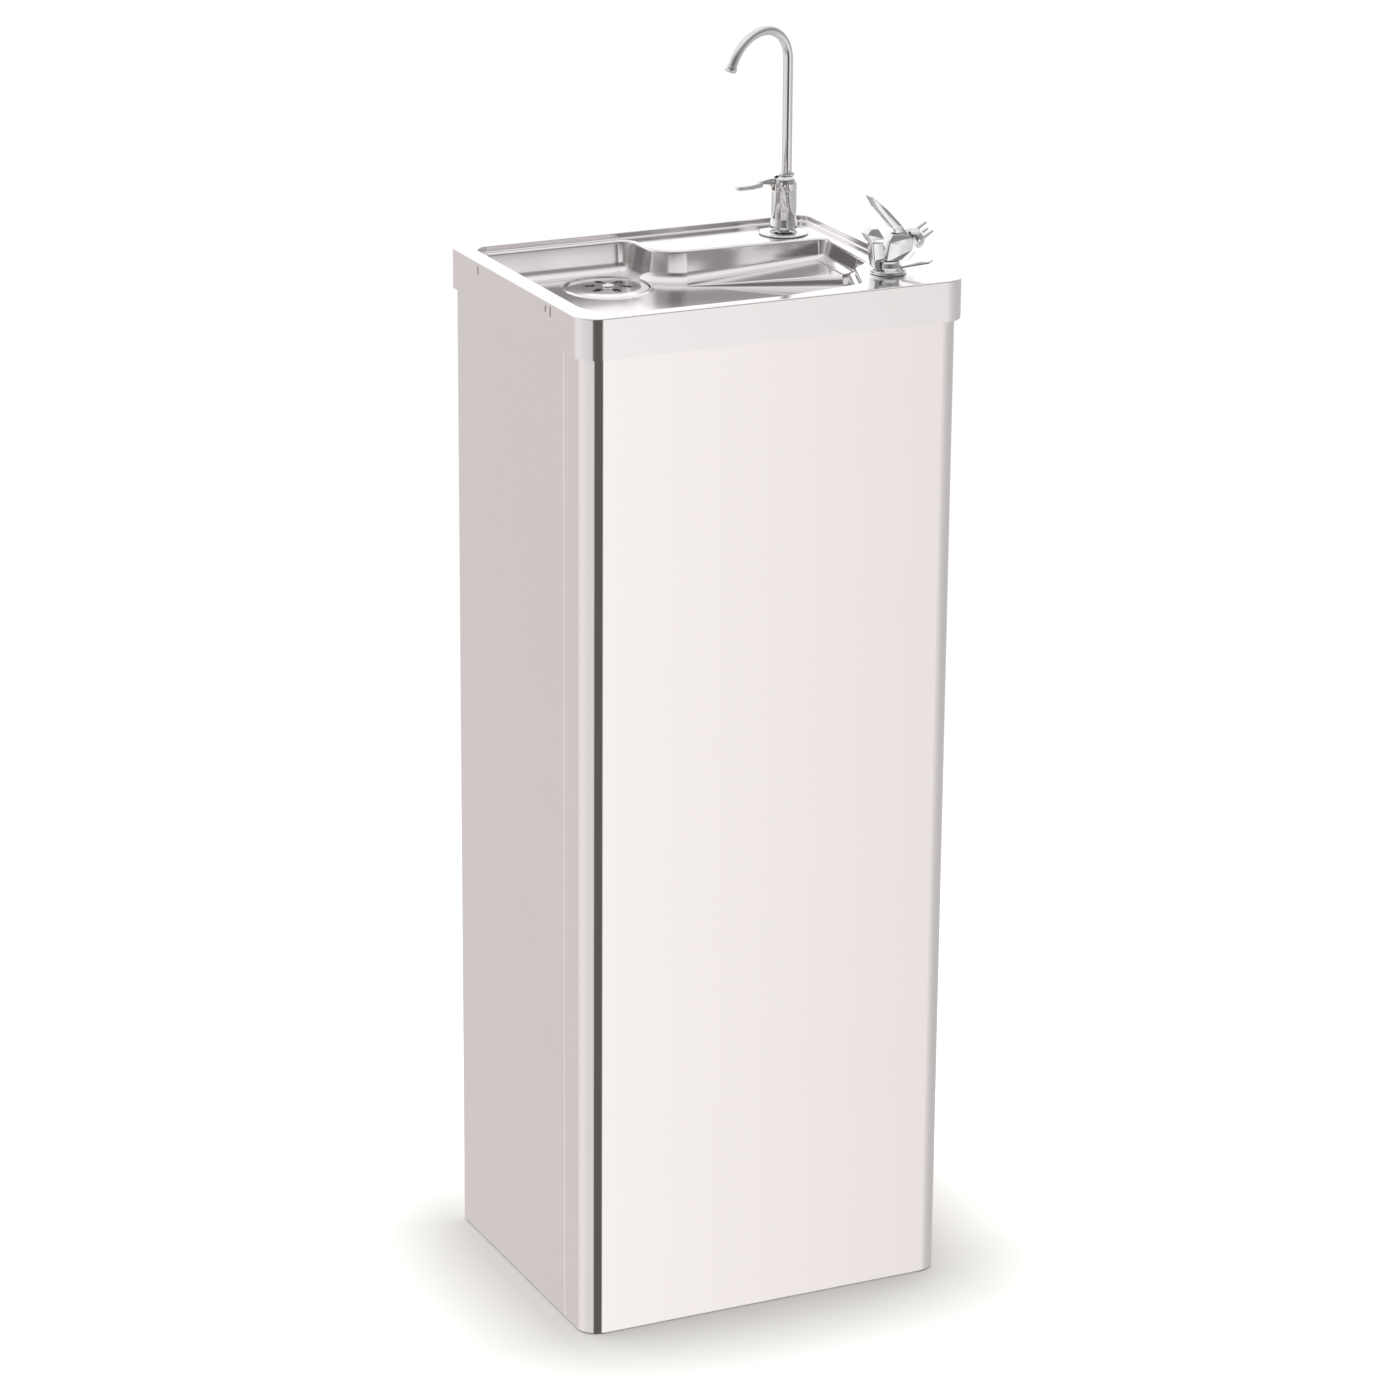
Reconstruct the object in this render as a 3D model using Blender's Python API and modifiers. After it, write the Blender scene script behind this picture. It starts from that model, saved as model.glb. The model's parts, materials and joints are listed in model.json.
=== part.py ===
"""Floor-standing stainless steel drinking fountain with a gooseneck bottle filler and a bubbler.

Metres. +X is the right side, +Y is the back, +Z is up. The origin is on the floor, under the
middle of the cabinet.
"""
import math

import bmesh
import bpy
from mathutils import Matrix, Vector

# Driving dimensions.
HEIGHT = 1.000          # floor to the basin's rim
WIDTH = 0.380           # cabinet, side to side
DEPTH = 0.300           # cabinet, front to back
SHEET = 0.0012          # every folded sheet
GAP = 0.0003            # clearance between neighbouring pieces
CORNER = 0.020          # radius of the cabinet's front corners
OVERHANG = 0.005        # rim beyond the cabinet
SKIRT = 0.020           # height of the rim's skirt
WRAP = 0.048            # how far the front panel returns along each side
SEAM = 0.0006           # open seam between front and side panels
FLANGE = 0.010          # folded inner edge of a panel
FLOOR_GAP = 0.0015      # panels clear the floor, the base tray carries the weight

SHELF_DROP = 0.006      # tap shelf below the rim
BOWL_LOW = 0.964        # bowl floor round the drain
BOWL_HIGH = 0.982       # bowl floor at its right end
SLOPE_START = -0.020    # the floor is level left of here
SLOPE_END = 0.145
BOWL_FILLET = 0.009

DRAIN = (-0.065, 0.080)
TAP = (0.1285, 0.100)
BUBBLER = (0.137, -0.103)
TANK = (-0.020, 0.020)
COMPRESSOR = (0.040, 0.030)
FILTER = (-0.125, -0.040)

WATER_HEIGHT = 0.090
WATER_IN = (-0.100, WATER_HEIGHT)
WASTE_OUT = (-0.152, WATER_HEIGHT)
POWER_IN = (0.150, 0.080)
DIAL = (0.153, 0.300)

RIM = HEIGHT
SHELF = HEIGHT - SHELF_DROP
PANEL_TOP = HEIGHT - SHEET - GAP
INNER_HALF = WIDTH / 2 - FLANGE - 0.0005
TRAY_BACK = DEPTH / 2 - SHEET - 0.0005
REAR_FACE = DEPTH / 2 + GAP         # inner face of the back sheet
SCREW_X = 0.178
SCREW_LEVELS = (0.040, 0.930)
SPOUT_TURN = math.radians(17)
SIDES = 20

BACKWARDS = (-math.pi / 2, 0, 0)    # turns a local Z axis to point out of the back
ALONG_Y = (math.pi / 2, 0, 0)       # stands a flat outline up in X and Z

# Basin outlines: corner x, corner y, corner radius, anticlockwise from the back left.
RECESS = [
    (-0.177, 0.140, 0.014), (-0.177, -0.142, 0.042), (0.012, -0.142, 0.060),
    (0.097, -0.129, 0.011), (0.117, -0.074, 0.020), (0.150, -0.046, 0.012),
    (0.171, -0.040, 0.010), (0.171, 0.140, 0.014),
]
BOWL = [
    (-0.1755, 0.1385, 0.013), (-0.1755, -0.1405, 0.041), (0.0118, -0.1405, 0.0585),
    (0.0955, -0.1277, 0.0095), (0.115, -0.0725, 0.020), (0.147, -0.043, 0.014),
    (0.164, 0.065, 0.014), (0.010, 0.073, 0.030), (-0.018, 0.104, 0.016), (-0.020, 0.1385, 0.010),
]


def collection(name):
    """Return a new collection linked to the scene."""
    group = bpy.data.collections.new(name)
    bpy.context.scene.collection.children.link(group)
    return group


def clear_scene():
    """Remove every object that the scene starts with."""
    for item in list(bpy.data.objects):
        bpy.data.objects.remove(item, do_unlink=True)


clear_scene()
PARTS = collection("drinking_fountain")
CUTTERS = collection("cutters")


# Materials -------------------------------------------------------------------------------------

def material(name, colour, roughness, metallic):
    """Return a Principled material."""
    made = bpy.data.materials.new(name)
    made.use_nodes = True
    shader = made.node_tree.nodes["Principled BSDF"]
    shader.inputs["Base Color"].default_value = (*colour, 1)
    shader.inputs["Roughness"].default_value = roughness
    shader.inputs["Metallic"].default_value = metallic
    return made


SATIN = material("satin_steel", (0.80, 0.77, 0.77), 0.28, 1)
MIRROR = material("polished_steel", (0.78, 0.77, 0.77), 0.10, 1)
CHROME = material("chrome", (0.75, 0.75, 0.76), 0.06, 1)
ZINC = material("zinc_plate", (0.55, 0.56, 0.57), 0.40, 1)
COPPER = material("copper", (0.72, 0.38, 0.24), 0.30, 1)
BRASS = material("brass", (0.72, 0.56, 0.27), 0.30, 1)
BLACK_METAL = material("black_paint", (0.02, 0.02, 0.022), 0.45, 0)
BLACK_PLASTIC = material("black_plastic", (0.03, 0.03, 0.03), 0.50, 0)
WHITE_PLASTIC = material("white_plastic", (0.80, 0.80, 0.78), 0.45, 0)
GREY_PLASTIC = material("grey_plastic", (0.35, 0.36, 0.37), 0.50, 0)
BLUE_HOSE = material("blue_tube", (0.10, 0.25, 0.60), 0.45, 0)
FOAM = material("foam", (0.80, 0.74, 0.58), 0.90, 0)
RUBBER = material("rubber", (0.03, 0.03, 0.03), 0.70, 0)


# Modelling helpers -----------------------------------------------------------------------------

def keep(name, data, finish, at=(0, 0, 0), tilt=(0, 0, 0)):
    """Make an object in the parts collection, or in the cutters one when it has no finish."""
    item = bpy.data.objects.new(name, data)
    item.location = at
    item.rotation_euler = tilt
    if finish is None:
        CUTTERS.objects.link(item)
        item.hide_render = True
        item.display_type = "WIRE"
    else:
        data.materials.append(finish)
        PARTS.objects.link(item)
    return item


def smooth(data):
    """Shade a mesh smooth except at its real edges."""
    data.shade_smooth()
    data.set_sharp_from_angle(angle=math.radians(35))


def as_mesh(item):
    """Turn a curve object into a mesh object with welded caps."""
    bpy.context.view_layer.update()
    graph = bpy.context.evaluated_depsgraph_get()
    data = bpy.data.meshes.new_from_object(item.evaluated_get(graph))
    form = bmesh.new()
    form.from_mesh(data)
    bmesh.ops.remove_doubles(form, verts=form.verts, dist=0.00001)
    bmesh.ops.dissolve_limit(form, angle_limit=0.001, verts=form.verts, edges=form.edges)
    bmesh.ops.recalc_face_normals(form, faces=form.faces)
    form.to_mesh(data)
    form.free()
    name, group, place = item.name, item.users_collection[0], item.matrix_world.copy()
    hidden, display = item.hide_render, item.display_type
    bpy.data.objects.remove(item)
    made = bpy.data.objects.new(name, data)
    group.objects.link(made)
    made.matrix_world = place
    made.hide_render = hidden
    made.display_type = display
    return made


def boolean(item, cutter, operation="DIFFERENCE"):
    """Cut an object with a cutter, or join the cutter to it."""
    modifier = item.modifiers.new(cutter.name, "BOOLEAN")
    modifier.operation = operation
    modifier.solver = "EXACT"
    modifier.object = cutter
    return item


def rounded(corners, steps=4, closed=True):
    """Return the points of an outline whose corners (x, y, radius) are rounded with arcs."""
    points = []
    last = len(corners) - 1
    for index, (x, y, radius) in enumerate(corners):
        corner = Vector((x, y))
        if radius == 0 or (not closed and index in (0, last)):
            points.append(corner)
            continue
        before = (Vector(corners[index - 1][:2]) - corner).normalized()
        after = (Vector(corners[(index + 1) % len(corners)][:2]) - corner).normalized()
        half = before.angle(after) / 2
        centre = corner + (before + after).normalized() * radius / math.sin(half)
        start = corner + before * radius / math.tan(half) - centre
        end = corner + after * radius / math.tan(half) - centre
        turn = start.angle_signed(end)
        for step in range(steps + 1):
            angle = math.atan2(start.y, start.x) - turn * step / steps
            points.append(centre + radius * Vector((math.cos(angle), math.sin(angle))))
    return points


def grown(points, distance):
    """Return an anticlockwise outline moved outwards."""
    moved = []
    for index, point in enumerate(points):
        before = (point - points[index - 1]).normalized()
        after = (points[(index + 1) % len(points)] - point).normalized()
        way = (before + after).normalized()
        normal = Vector((way.y, -way.x))
        moved.append(point + normal * distance / max(0.5, way.dot(after)))
    return moved


def strip(path, thickness):
    """Return the closed outline of a sheet that follows an open path, thick to its left."""
    inner = []
    for index, point in enumerate(path):
        before = path[max(index, 1)] - path[max(index, 1) - 1]
        after = path[min(index + 1, len(path) - 1)] - path[min(index, len(path) - 2)]
        before.normalize()
        after.normalize()
        way = (before + after).normalized()
        inner.append(point + Vector((-way.y, way.x)) * thickness / way.dot(after))
    return path + inner[::-1]


def plate(name, outline, low, high, finish=None, at=(0, 0, 0), tilt=(0, 0, 0)):
    """Extrude a flat outline from local height low to high."""
    data = bpy.data.curves.new(name, "CURVE")
    data.dimensions = "2D"
    data.fill_mode = "BOTH"
    data.extrude = (high - low) / 2
    spline = data.splines.new("POLY")
    spline.points.add(len(outline) - 1)
    for point, place in zip(spline.points, outline):
        point.co = (place[0], place[1], 0, 1)
    spline.use_cyclic_u = True
    item = keep(name, data, finish, at, tilt)
    item.location += item.rotation_euler.to_matrix() @ Vector((0, 0, (high + low) / 2))
    return item


def upright(name, outline, half_width, finish=None, at=(0, 0, 0)):
    """Extrude an outline drawn in X and Z by half_width to each side along Y."""
    return plate(name, outline, -half_width, half_width, finish, at, ALONG_Y)


def block(name, low, high, finish=None, at=(0, 0, 0)):
    """Make a box between two corners."""
    data = bpy.data.meshes.new(name)
    form = bmesh.new()
    bmesh.ops.create_cube(form, size=1)
    centre = (Vector(low) + Vector(high)) / 2
    size = Vector(high) - Vector(low)
    bmesh.ops.scale(form, vec=size, verts=form.verts)
    form.to_mesh(data)
    form.free()
    return keep(name, data, finish, Vector(at) + centre)


def round_rim(item, heights, width, segments):
    """Round the edges of an unplaced prism whose ends both lie within a span of heights."""
    form = bmesh.new()
    form.from_mesh(item.data)
    low, high = heights[0] - item.location.z, heights[1] - item.location.z
    rims = [edge for edge in form.edges
            if all(low <= vertex.co.z <= high for vertex in edge.verts)
            and edge.calc_face_angle(0) > math.radians(50)]
    bmesh.ops.bevel(form, geom=rims, offset=width, segments=segments, profile=0.5,
                    affect="EDGES", offset_type="OFFSET")
    form.to_mesh(item.data)
    form.free()


def drum(name, radius, low, high, finish=None, at=(0, 0, 0), tilt=(0, 0, 0), sides=SIDES, top=None):
    """Make a cylinder or cone along local Z between two heights."""
    data = bpy.data.meshes.new(name)
    form = bmesh.new()
    bmesh.ops.create_cone(form, cap_ends=True, segments=sides, radius1=radius,
                          radius2=radius if top is None else top, depth=high - low)
    bmesh.ops.translate(form, vec=(0, 0, (low + high) / 2), verts=form.verts)
    form.to_mesh(data)
    form.free()
    smooth(data)
    return keep(name, data, finish, at, tilt)


def turned(name, profile, finish=None, at=(0, 0, 0), tilt=(0, 0, 0), sides=SIDES, ring=False):
    """Turn a profile (radius, height), listed down the outside, round local Z."""
    data = bpy.data.meshes.new(name)
    form = bmesh.new()
    points = [form.verts.new((radius, 0, height)) for radius, height in profile]
    for start, end in zip(points, points[1:]):
        form.edges.new((start, end))
    if ring:
        form.edges.new((points[-1], points[0]))
    form.to_mesh(data)
    form.free()
    item = keep(name, data, finish, at, tilt)
    modifier = item.modifiers.new("turn", "SCREW")
    modifier.steps = sides
    modifier.render_steps = sides
    modifier.use_merge_vertices = True
    modifier.merge_threshold = 0.00001
    modifier.use_smooth_shade = True
    return item


def ring(name, inner, outer, low, high, finish, at=(0, 0, 0), tilt=(0, 0, 0)):
    """Make a flat ring along local Z."""
    profile = [(inner, high), (outer, high), (outer, low), (inner, low)]
    return turned(name, profile, finish, at, tilt, ring=True)


def wire(name, points, radius, finish=None, at=(0, 0, 0), detail=2):
    """Make a round tube along points."""
    data = bpy.data.curves.new(name, "CURVE")
    data.dimensions = "3D"
    data.bevel_depth = radius
    data.bevel_resolution = detail
    data.use_fill_caps = True
    spline = data.splines.new("POLY")
    spline.points.add(len(points) - 1)
    for point, place in zip(spline.points, points):
        point.co = (*place, 1)
    spline.use_smooth = True
    return keep(name, data, finish, at)


def flowing(controls, steps=3):
    """Return points on a smooth curve; its first and last stretches stay straight."""
    knots = [Vector(point) for point in controls]
    spans = [(end - start).length for start, end in zip(knots, knots[1:])]
    slopes = [(knots[k + 1] - knots[k - 1]) / (spans[k - 1] + spans[k]) for k in range(1, len(knots) - 1)]
    slopes[0] = (knots[1] - knots[0]) / spans[0]
    slopes[-1] = (knots[-1] - knots[-2]) / spans[-1]
    points = [knots[0]]
    for k in range(1, len(knots) - 2):
        for step in range(steps):
            t = step / steps
            lean = slopes[k - 1] * (t - 2 * t ** 2 + t ** 3) + slopes[k] * (t ** 3 - t ** 2)
            blend = 3 * t ** 2 - 2 * t ** 3
            points.append(knots[k].lerp(knots[k + 1], blend) + lean * spans[k])
    return points + knots[-2:]


def helix(radius, low, high, turns, steps):
    """Return the points of a coil round local Z."""
    count = int(turns * steps)
    points = []
    for index in range(count + 1):
        angle = 2 * math.pi * index / steps
        height = low + (high - low) * index / count
        points.append(Vector((radius * math.cos(angle), radius * math.sin(angle), height)))
    return points


def behind(place):
    """Return the point on the back sheet's inner face at (x, z)."""
    return (place[0], REAR_FACE, place[1])


# Cabinet ---------------------------------------------------------------------------------------

def front_panel():
    """Fold one sheet round both front corners, with a return flange at each end."""
    side, front, seam = WIDTH / 2, -DEPTH / 2, -DEPTH / 2 + WRAP
    inner = side - FLANGE
    path = rounded([(-inner, seam, 0), (-side, seam, 0.002), (-side, front, CORNER),
                    (side, front, CORNER), (side, seam, 0.002), (inner, seam, 0)],
                   steps=6, closed=False)
    plate("front_panel", strip(path, SHEET), FLOOR_GAP, PANEL_TOP, SATIN)


def side_panel(name, hand):
    """Fold a side sheet with flanges at its front and back edges."""
    side, seam, back = WIDTH / 2, -DEPTH / 2 + WRAP + SEAM, DEPTH / 2
    path = rounded([(side - FLANGE, seam, 0), (side, seam, 0.002), (side, back, 0.002),
                    (side - FLANGE - 0.006, back, 0)], steps=3, closed=False)
    outline = [Vector((hand * point.x, point.y)) for point in strip(path, SHEET)]
    panel = as_mesh(plate(name, outline, FLOOR_GAP, PANEL_TOP, SATIN))
    for level in SCREW_LEVELS:
        place = behind((hand * SCREW_X, level))
        boolean(panel, drum(f"{name}_hole_{level}", 0.0024, -0.01, 0.01, None, place, BACKWARDS, 12))


def rear_panel():
    """Cut rows of air slots in the flat back sheet."""
    half, low, high = 0.184, 0.012, 0.972
    panel = block("rear_panel", (-half, REAR_FACE, low), (half, REAR_FACE + SHEET, high), ZINC)
    for row in range(8):
        for column in (-1, 1):
            middle, level = column * 0.075, 0.40 + row * 0.050
            name = f"air_slot_{row}_{column}"
            slot = block(name, (middle - 0.055, 0.14, level), (middle + 0.055, 0.16, level + 0.010))
            boolean(panel, slot)
    holes = [(WATER_IN, 0.0085), (WASTE_OUT, 0.0125), (POWER_IN, 0.0085), (DIAL, 0.0065)]
    for index, (place, radius) in enumerate(holes):
        hole = drum(f"rear_hole_{index}", radius, -0.01, 0.01, None, behind(place), BACKWARDS)
        boolean(panel, hole)
    corners = [(x, z) for x in (-SCREW_X, SCREW_X) for z in SCREW_LEVELS]
    for index, corner in enumerate(corners):
        place = behind(corner)
        boolean(panel, drum(f"screw_hole_{index}", 0.0024, -0.01, 0.01, None, place, BACKWARDS, 12))
        head = [(0, 0.0038), (0.0022, 0.0037), (0.0038, 0.0027), (0.0040, 0.0015), (0.0020, 0.0015),
                (0.0020, -0.0050), (0, -0.0050)]
        turned(f"rear_screw_{index + 1}", head, ZINC, place, BACKWARDS, sides=12)


def base_tray():
    """Make the tray that stands on the floor and carries the compressor."""
    front, back, rise = -TRAY_BACK, TRAY_BACK, 0.025
    corners = [(-INNER_HALF, front, 0.012), (INNER_HALF, front, 0.012),
               (INNER_HALF, back, 0.003), (-INNER_HALF, back, 0.003)]
    outline = rounded(corners, steps=3)
    tray = as_mesh(plate("base_tray", outline, 0, rise, ZINC))
    inside = as_mesh(plate("tray_inside", grown(outline, -SHEET), 0.002, rise + 0.01))
    boolean(tray, inside)


def tank_shelf():
    """Make the shelf under the cold tank, notched at its back corners for the pipes."""
    half = INNER_HALF
    corners = [(-half, -0.060, 0), (half, -0.060, 0), (half, 0.060, 0.004), (0.105, 0.060, 0.004),
               (0.105, 0.120, 0.004), (-0.105, 0.120, 0.004), (-0.105, 0.060, 0.004),
               (-half, 0.060, 0.004)]
    outline = rounded(corners, steps=2)
    shelf = as_mesh(plate("tank_shelf", outline, 0.440, 0.460, ZINC))
    under = as_mesh(plate("shelf_hollow", grown(outline, -SHEET), 0.430, 0.4588))
    boolean(shelf, under)


# Basin -----------------------------------------------------------------------------------------

def floor_level(x):
    """Return the height of the bowl's floor at x."""
    share = min(1, max(0, (x - SLOPE_START) / (SLOPE_END - SLOPE_START)))
    return BOWL_LOW + share * (BOWL_HIGH - BOWL_LOW)


def bowl_block(name, outline, drop, top):
    """Make a prism with the bowl's sloping, filleted bottom, lowered by drop."""
    item = as_mesh(plate(name, outline, BOWL_LOW, top))
    form = bmesh.new()
    form.from_mesh(item.data)
    for fold in (SLOPE_START, SLOPE_END):
        geometry = form.verts[:] + form.edges[:] + form.faces[:]
        bmesh.ops.bisect_plane(form, geom=geometry, plane_co=(fold, 0, 0), plane_no=(1, 0, 0))
    shift = item.location.z
    for vertex in form.verts:
        if vertex.co.z + shift < BOWL_LOW + 0.001:
            vertex.co.z = floor_level(vertex.co.x) - drop - shift
    form.to_mesh(item.data)
    form.free()
    round_rim(item, (BOWL_LOW - 0.005, BOWL_HIGH + 0.001), BOWL_FILLET + drop, 3)
    return item


def basin_top():
    """Press the basin: rim and skirt, tap shelf, sloping bowl and drain seat."""
    side, deep = WIDTH / 2 + OVERHANG, DEPTH / 2 + OVERHANG
    front_corner, back_corner = CORNER + 0.003, 0.010
    outline = rounded([(-side, -deep, front_corner), (side, -deep, front_corner),
                       (side, deep, back_corner), (-side, deep, back_corner)], steps=5)
    basin = as_mesh(plate("basin_top", outline, RIM - SKIRT, RIM, MIRROR))
    round_rim(basin, (RIM - 0.001, RIM + 0.001), 0.0011, 2)
    under = as_mesh(plate("skirt_inside", grown(outline, -SHEET), RIM - SKIRT - 0.01, RIM - SHEET))
    boolean(basin, under)
    recess = rounded(RECESS, steps=4)
    bowl = rounded(BOWL, steps=4)
    pan = as_mesh(plate("shelf_outside", grown(recess, SHEET), SHELF - SHEET, RIM - 0.0005))
    boolean(basin, pan, "UNION")
    outside = bowl_block("bowl_outside", grown(bowl, SHEET), SHEET, SHELF - 0.0005)
    boolean(basin, outside, "UNION")
    seat = drum("drain_boss", 0.0415, BOWL_LOW - 0.0015 - SHEET, BOWL_LOW + 0.0008, at=(*DRAIN, 0))
    boolean(basin, seat, "UNION")
    boolean(basin, as_mesh(plate("shelf_press", recess, SHELF, RIM + 0.01)))
    inside = bowl_block("bowl_press", bowl, 0, RIM + 0.005)
    boolean(basin, inside)
    boolean(basin, drum("drain_seat", 0.0403, BOWL_LOW - 0.0015, BOWL_LOW + 0.005, at=(*DRAIN, 0)))
    boolean(basin, drum("drain_hole", 0.0280, 0.95, 0.98, at=(*DRAIN, 0)))
    boolean(basin, drum("tap_hole", 0.0065, 0.97, 1.01, at=(*TAP, 0)))
    boolean(basin, drum("bubbler_hole", 0.0065, 0.97, 1.01, at=(*BUBBLER, 0)))
    for index, (y, low, high) in enumerate([(0.086, 0.9875, 0.996), (-0.071, 0.989, 0.995),
                                            (-0.082, 0.987, 0.996)]):
        corners = (-side - 0.01, y - 0.0009, low), (-side + 0.004, y + 0.0009, high)
        boolean(basin, block(f"skirt_slot_{index}", *corners))


def drain():
    """Make the strainer, its screw, and the waste fitting under the bowl."""
    seat = BOWL_LOW - 0.0015
    profile = [(0, 0.0030), (0.030, 0.0026), (0.0385, 0.0018), (0.0395, GAP), (0, GAP)]
    strainer = turned("drain_strainer", profile, MIRROR, (*DRAIN, seat), sides=24)
    for index in range(6):
        angle = math.radians(60 * index + 30)
        hole = plate(f"strainer_hole_{index}", rounded([
            (0.0125, -0.0028, 0.0026), (0.0240, -0.0034, 0.0030),
            (0.0240, 0.0034, 0.0030), (0.0125, 0.0028, 0.0026)], steps=2), -0.01, 0.01,
            None, (*DRAIN, seat), (0, 0, angle))
        boolean(strainer, as_mesh(hole))
    boolean(strainer, drum("strainer_bore", 0.0034, -0.01, 0.01, at=(*DRAIN, seat)))
    screw = [(0, 0.0058), (0.0040, 0.0050), (0.0062, 0.0034), (0.0030, 0.0033), (0.0030, -0.020),
             (0, -0.020)]
    turned("strainer_screw", screw, CHROME, (*DRAIN, seat), sides=20)
    under = seat - SHEET
    ring("waste_gasket", 0.0285, 0.0380, -0.0023, -GAP, RUBBER, (*DRAIN, under))
    body = [(0.0265, -0.0026), (0.0380, -0.0026), (0.0380, -0.0060), (0.0290, -0.0070),
            (0.0270, -0.022), (0.0100, -0.032), (0.0100, -0.060), (0.0080, -0.060),
            (0.0080, -0.031), (0.0250, -0.021)]
    waste = turned("waste_body", body, WHITE_PLASTIC, (*DRAIN, under), ring=True)
    bar = block("waste_bar", (-0.026, -0.003, -0.0165), (0.026, 0.003, -0.0105), at=(*DRAIN, under))
    boolean(waste, bar, "UNION")
    boolean(waste, drum("waste_thread", 0.0034, -0.02, 0.01, at=(*DRAIN, under), sides=16))
    start = under - 0.0605
    x, y = DRAIN
    route = flowing([(x, y, start), (x, y, start - 0.010), (-0.080, 0.088, 0.850), (-0.122, 0.101, 0.790),
                     (-0.150, 0.108, 0.650), (-0.152, 0.110, 0.400), (-0.152, 0.106, 0.180),
                     (-0.152, 0.108, 0.115), (-0.152, 0.118, 0.090), (-0.152, 0.1279, 0.090)])
    wire("waste_hose", route, 0.0100, GREY_PLASTIC, detail=2)
    spigot = [(0.0080, 0.0120), (0.0110, 0.0120), (0.0110, -0.0010), (0.0180, -0.0010),
              (0.0180, -0.0035), (0.0120, -0.0035), (0.0120, -0.0220), (0.0080, -0.0220)]
    turned("waste_outlet", spigot, GREY_PLASTIC, behind(WASTE_OUT), BACKWARDS, ring=True)


# Bottle filler ---------------------------------------------------------------------------------

PIN_X, PIN_Z = -0.0070, 0.0500      # lever pin, from the tap's foot
CAM = 0.0035                        # lever hub's eccentricity
SPOUT_X = 0.0025


def tap_point(x, y, z):
    """Return a world point from one measured at the tap's foot."""
    return (TAP[0] + x, TAP[1] + y, SHELF + z)


def tap_body():
    """Turn the column with its threaded tail, and cut the spout, valve and lever spaces."""
    foot = tap_point(0, 0, 0)
    profile = [(0, 0.0560), (0.0080, 0.0560), (0.0105, 0.0540), (0.0120, 0.0500), (0.0120, 0.0150),
               (0.0136, 0.0085), (0.0140, 0.0054), (0.0060, 0.0054), (0.0060, -0.0400), (0, -0.0400)]
    body = turned("tap_body", profile, CHROME, foot)
    spout = tap_point(SPOUT_X, 0, 0)
    stem = tap_point(PIN_X, 0, 0)
    boolean(body, drum("spout_bore", 0.0050, 0.038, 0.060, at=spout))
    boolean(body, drum("spring_bore", 0.0034, 0.024, 0.0435, at=stem, sides=20))
    boolean(body, drum("stem_bore", 0.0022, 0.013, 0.025, at=stem, sides=20))
    boolean(body, block("lever_slot", (-0.020, -0.0033, 0.0430), (-0.0031, 0.0033, 0.0600), at=foot))
    pin = tap_point(PIN_X, 0, PIN_Z)
    boolean(body, drum("pin_bore", 0.00165, -0.02, 0.02, None, pin, ALONG_Y, sides=16))
    ring("tap_escutcheon", 0.0063, 0.0240, GAP, 0.0030, CHROME, foot)
    ring("tap_washer", 0.0064, 0.0120, -0.0045, -SHEET - GAP, RUBBER, foot)
    ring("spout_collar", 0.0051, 0.0072, 0.0563, 0.0600, CHROME, spout)
    hexagon_nut("tap_nut", foot, -0.0120, -0.0048)


def hexagon_nut(name, foot, low, high):
    """Make a hexagon nut on a threaded tail."""
    corners = [(0.0110 * math.cos(math.radians(60 * k)), 0.0110 * math.sin(math.radians(60 * k)))
               for k in range(6)]
    nut = as_mesh(plate(name, corners, low, high, BRASS, foot))
    boolean(nut, drum(f"{name}_bore", 0.0063, low - 0.01, high + 0.01, at=foot))


def spout_path():
    """Return the gooseneck's centre line from the root in the body to the outlet."""
    top, tight, wide, tail = 0.1700, 0.030, 0.045, 0.006
    way = Vector((-math.cos(SPOUT_TURN), -math.sin(SPOUT_TURN), 0))
    up = Vector((0, 0, 1))
    points = [up * 0.0390, up * 0.070, up * 0.125, up * top]
    for step in range(1, 7):
        angle = math.pi / 2 * step / 6
        points.append(up * (top + tight * math.sin(angle)) + way * tight * (1 - math.cos(angle)))
    for step in range(1, 8):
        angle = math.radians(62) * step / 7
        points.append(up * (top + tight - wide * (1 - math.cos(angle)))
                      + way * (tight + wide * math.sin(angle)))
    fall = way * math.cos(math.radians(62)) - up * math.sin(math.radians(62))
    points.append(points[-1] + fall * tail)
    return points, fall


def tap_spout():
    """Bend the gooseneck and fit the collar at its outlet."""
    points, fall = spout_path()
    place = tap_point(SPOUT_X, 0, 0)
    wire("tap_spout", points, 0.00475, CHROME, place, detail=4)
    tilt = fall.to_track_quat("Z", "Y").to_euler()
    mouth = Vector(place) + points[-1] + fall * GAP
    profile = [(0.0030, 0.0050), (0.0052, 0.0050), (0.0058, 0.0035), (0.0058, 0), (0.0030, 0)]
    turned("spout_outlet", profile, CHROME, mouth, tilt, ring=True)


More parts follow.
